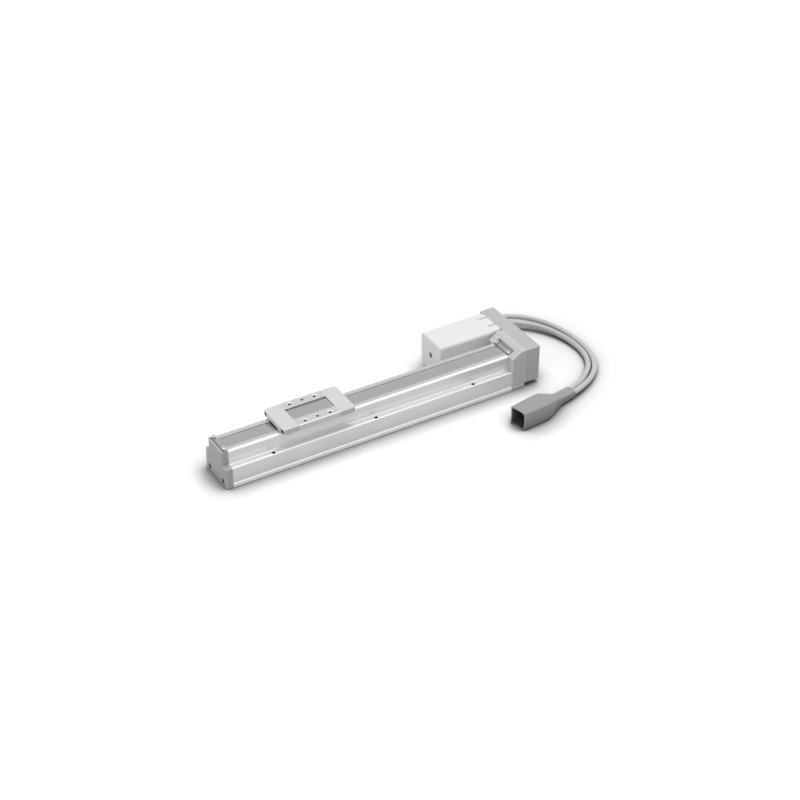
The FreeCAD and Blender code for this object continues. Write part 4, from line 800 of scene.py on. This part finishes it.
# Studio: a pale floor that looks white to the camera and carries a painted shadow close under the
# object, a broad lamp almost overhead, a low fill from the end cap's side, a soft even sky, and the
# camera at the photograph's angle.
floor_mesh = bpy.data.meshes.new("floor")
floor_reach = 12.0
floor_level = -0.05 * mm
floor_signs = ((-1, -1), (1, -1), (1, 1), (-1, 1))
floor_corners = [(x * floor_reach, y * floor_reach, floor_level) for x, y in floor_signs]
floor_mesh.from_pydata(floor_corners, [], [(0, 1, 2, 3)])
floor = bpy.data.objects.new("floor", floor_mesh)
bpy.context.scene.collection.objects.link(floor)


def seen_rays(tree):
    """One where a ray comes from the camera, a glossy surface or a clear one, and nought elsewhere."""
    path = tree.nodes.new("ShaderNodeLightPath").outputs
    reflected = arithmetic(tree, "MAXIMUM", path["Is Camera Ray"], path["Is Glossy Ray"])
    return arithmetic(tree, "MAXIMUM", reflected, path["Is Transmission Ray"])


floor_glow = 0.02
floor_shade = {"Reach": 22.0 * mm, "Closed": 0.46, "Open": 0.95, "Depth": 0.16}
pale_floor = bpy.data.materials.new("pale_floor")
pale_floor.use_nodes = True
floor_tree = pale_floor.node_tree
floor_tree.nodes.remove(floor_tree.nodes["Principled BSDF"])
plain = floor_tree.nodes.new("ShaderNodeBsdfDiffuse")
plain.inputs["Color"].default_value = grey(0.6)
paper = floor_tree.nodes.new("ShaderNodeBsdfDiffuse")
feed(floor_tree, paper.inputs["Color"], placed(floor_tree, crevice, floor_shade)["Light"])
lit = floor_tree.nodes.new("ShaderNodeEmission")
lit.inputs["Color"].default_value = grey(1.0)
lit.inputs["Strength"].default_value = floor_glow
both = floor_tree.nodes.new("ShaderNodeAddShader")
feed(floor_tree, both.inputs[0], paper.outputs["BSDF"])
feed(floor_tree, both.inputs[1], lit.outputs["Emission"])
choice = floor_tree.nodes.new("ShaderNodeMixShader")
feed(floor_tree, choice.inputs["Fac"], seen_rays(floor_tree))
feed(floor_tree, choice.inputs[1], plain.outputs["BSDF"])
feed(floor_tree, choice.inputs[2], both.outputs["Shader"])
feed(floor_tree, floor_tree.nodes["Material Output"].inputs["Surface"], choice.outputs["Shader"])
floor_mesh.materials.append(pale_floor)

sky_light = 0.35
sky_white = 1.0
world = bpy.data.worlds.new("studio_sky")
world.use_nodes = True
sky_tree = world.node_tree
sky = sky_tree.nodes["Background"]
sky.inputs["Color"].default_value = grey(1.0)
sky_strength = map_range(sky_tree, seen_rays(sky_tree), 0.0, 1.0, sky_light, sky_white)
feed(sky_tree, sky.inputs["Strength"], sky_strength)
bpy.context.scene.world = world

lamps = {
    # strength, spread and turn about each axis in degrees
    "broad_lamp": (1.9, 40, (2, 10, 0)),
    "low_fill": (0.85, 50, (78, 0, -76)),
}
for name, (strength, spread, turn) in lamps.items():
    lamp_data = bpy.data.lights.new(name, "SUN")
    lamp_data.energy = strength
    lamp_data.angle = math.radians(spread)
    lamp = bpy.data.objects.new(name, lamp_data)
    lamp.rotation_euler = [math.radians(angle) for angle in turn]
    bpy.context.scene.collection.objects.link(lamp)

camera_data = bpy.data.cameras.new("camera")
camera_data.lens = 82.53
camera_data.sensor_width = 36.0
camera_data.clip_start = 0.01
camera_data.clip_end = 100.0
camera = bpy.data.objects.new("camera", camera_data)
azimuth = math.radians(-30.9)
elevation = math.radians(34.72)
distance = 1.601
target = np.array([27.6, -11.2, 25.0]) * mm
back = np.array([
    math.sin(azimuth) * math.cos(elevation), -math.cos(azimuth) * math.cos(elevation), math.sin(elevation),
])
camera.location = target + back * distance
camera.rotation_euler = (math.pi / 2 - elevation, 0, azimuth)
bpy.context.scene.collection.objects.link(camera)
bpy.context.scene.camera = camera
bpy.context.scene.view_settings.view_transform = "Standard"
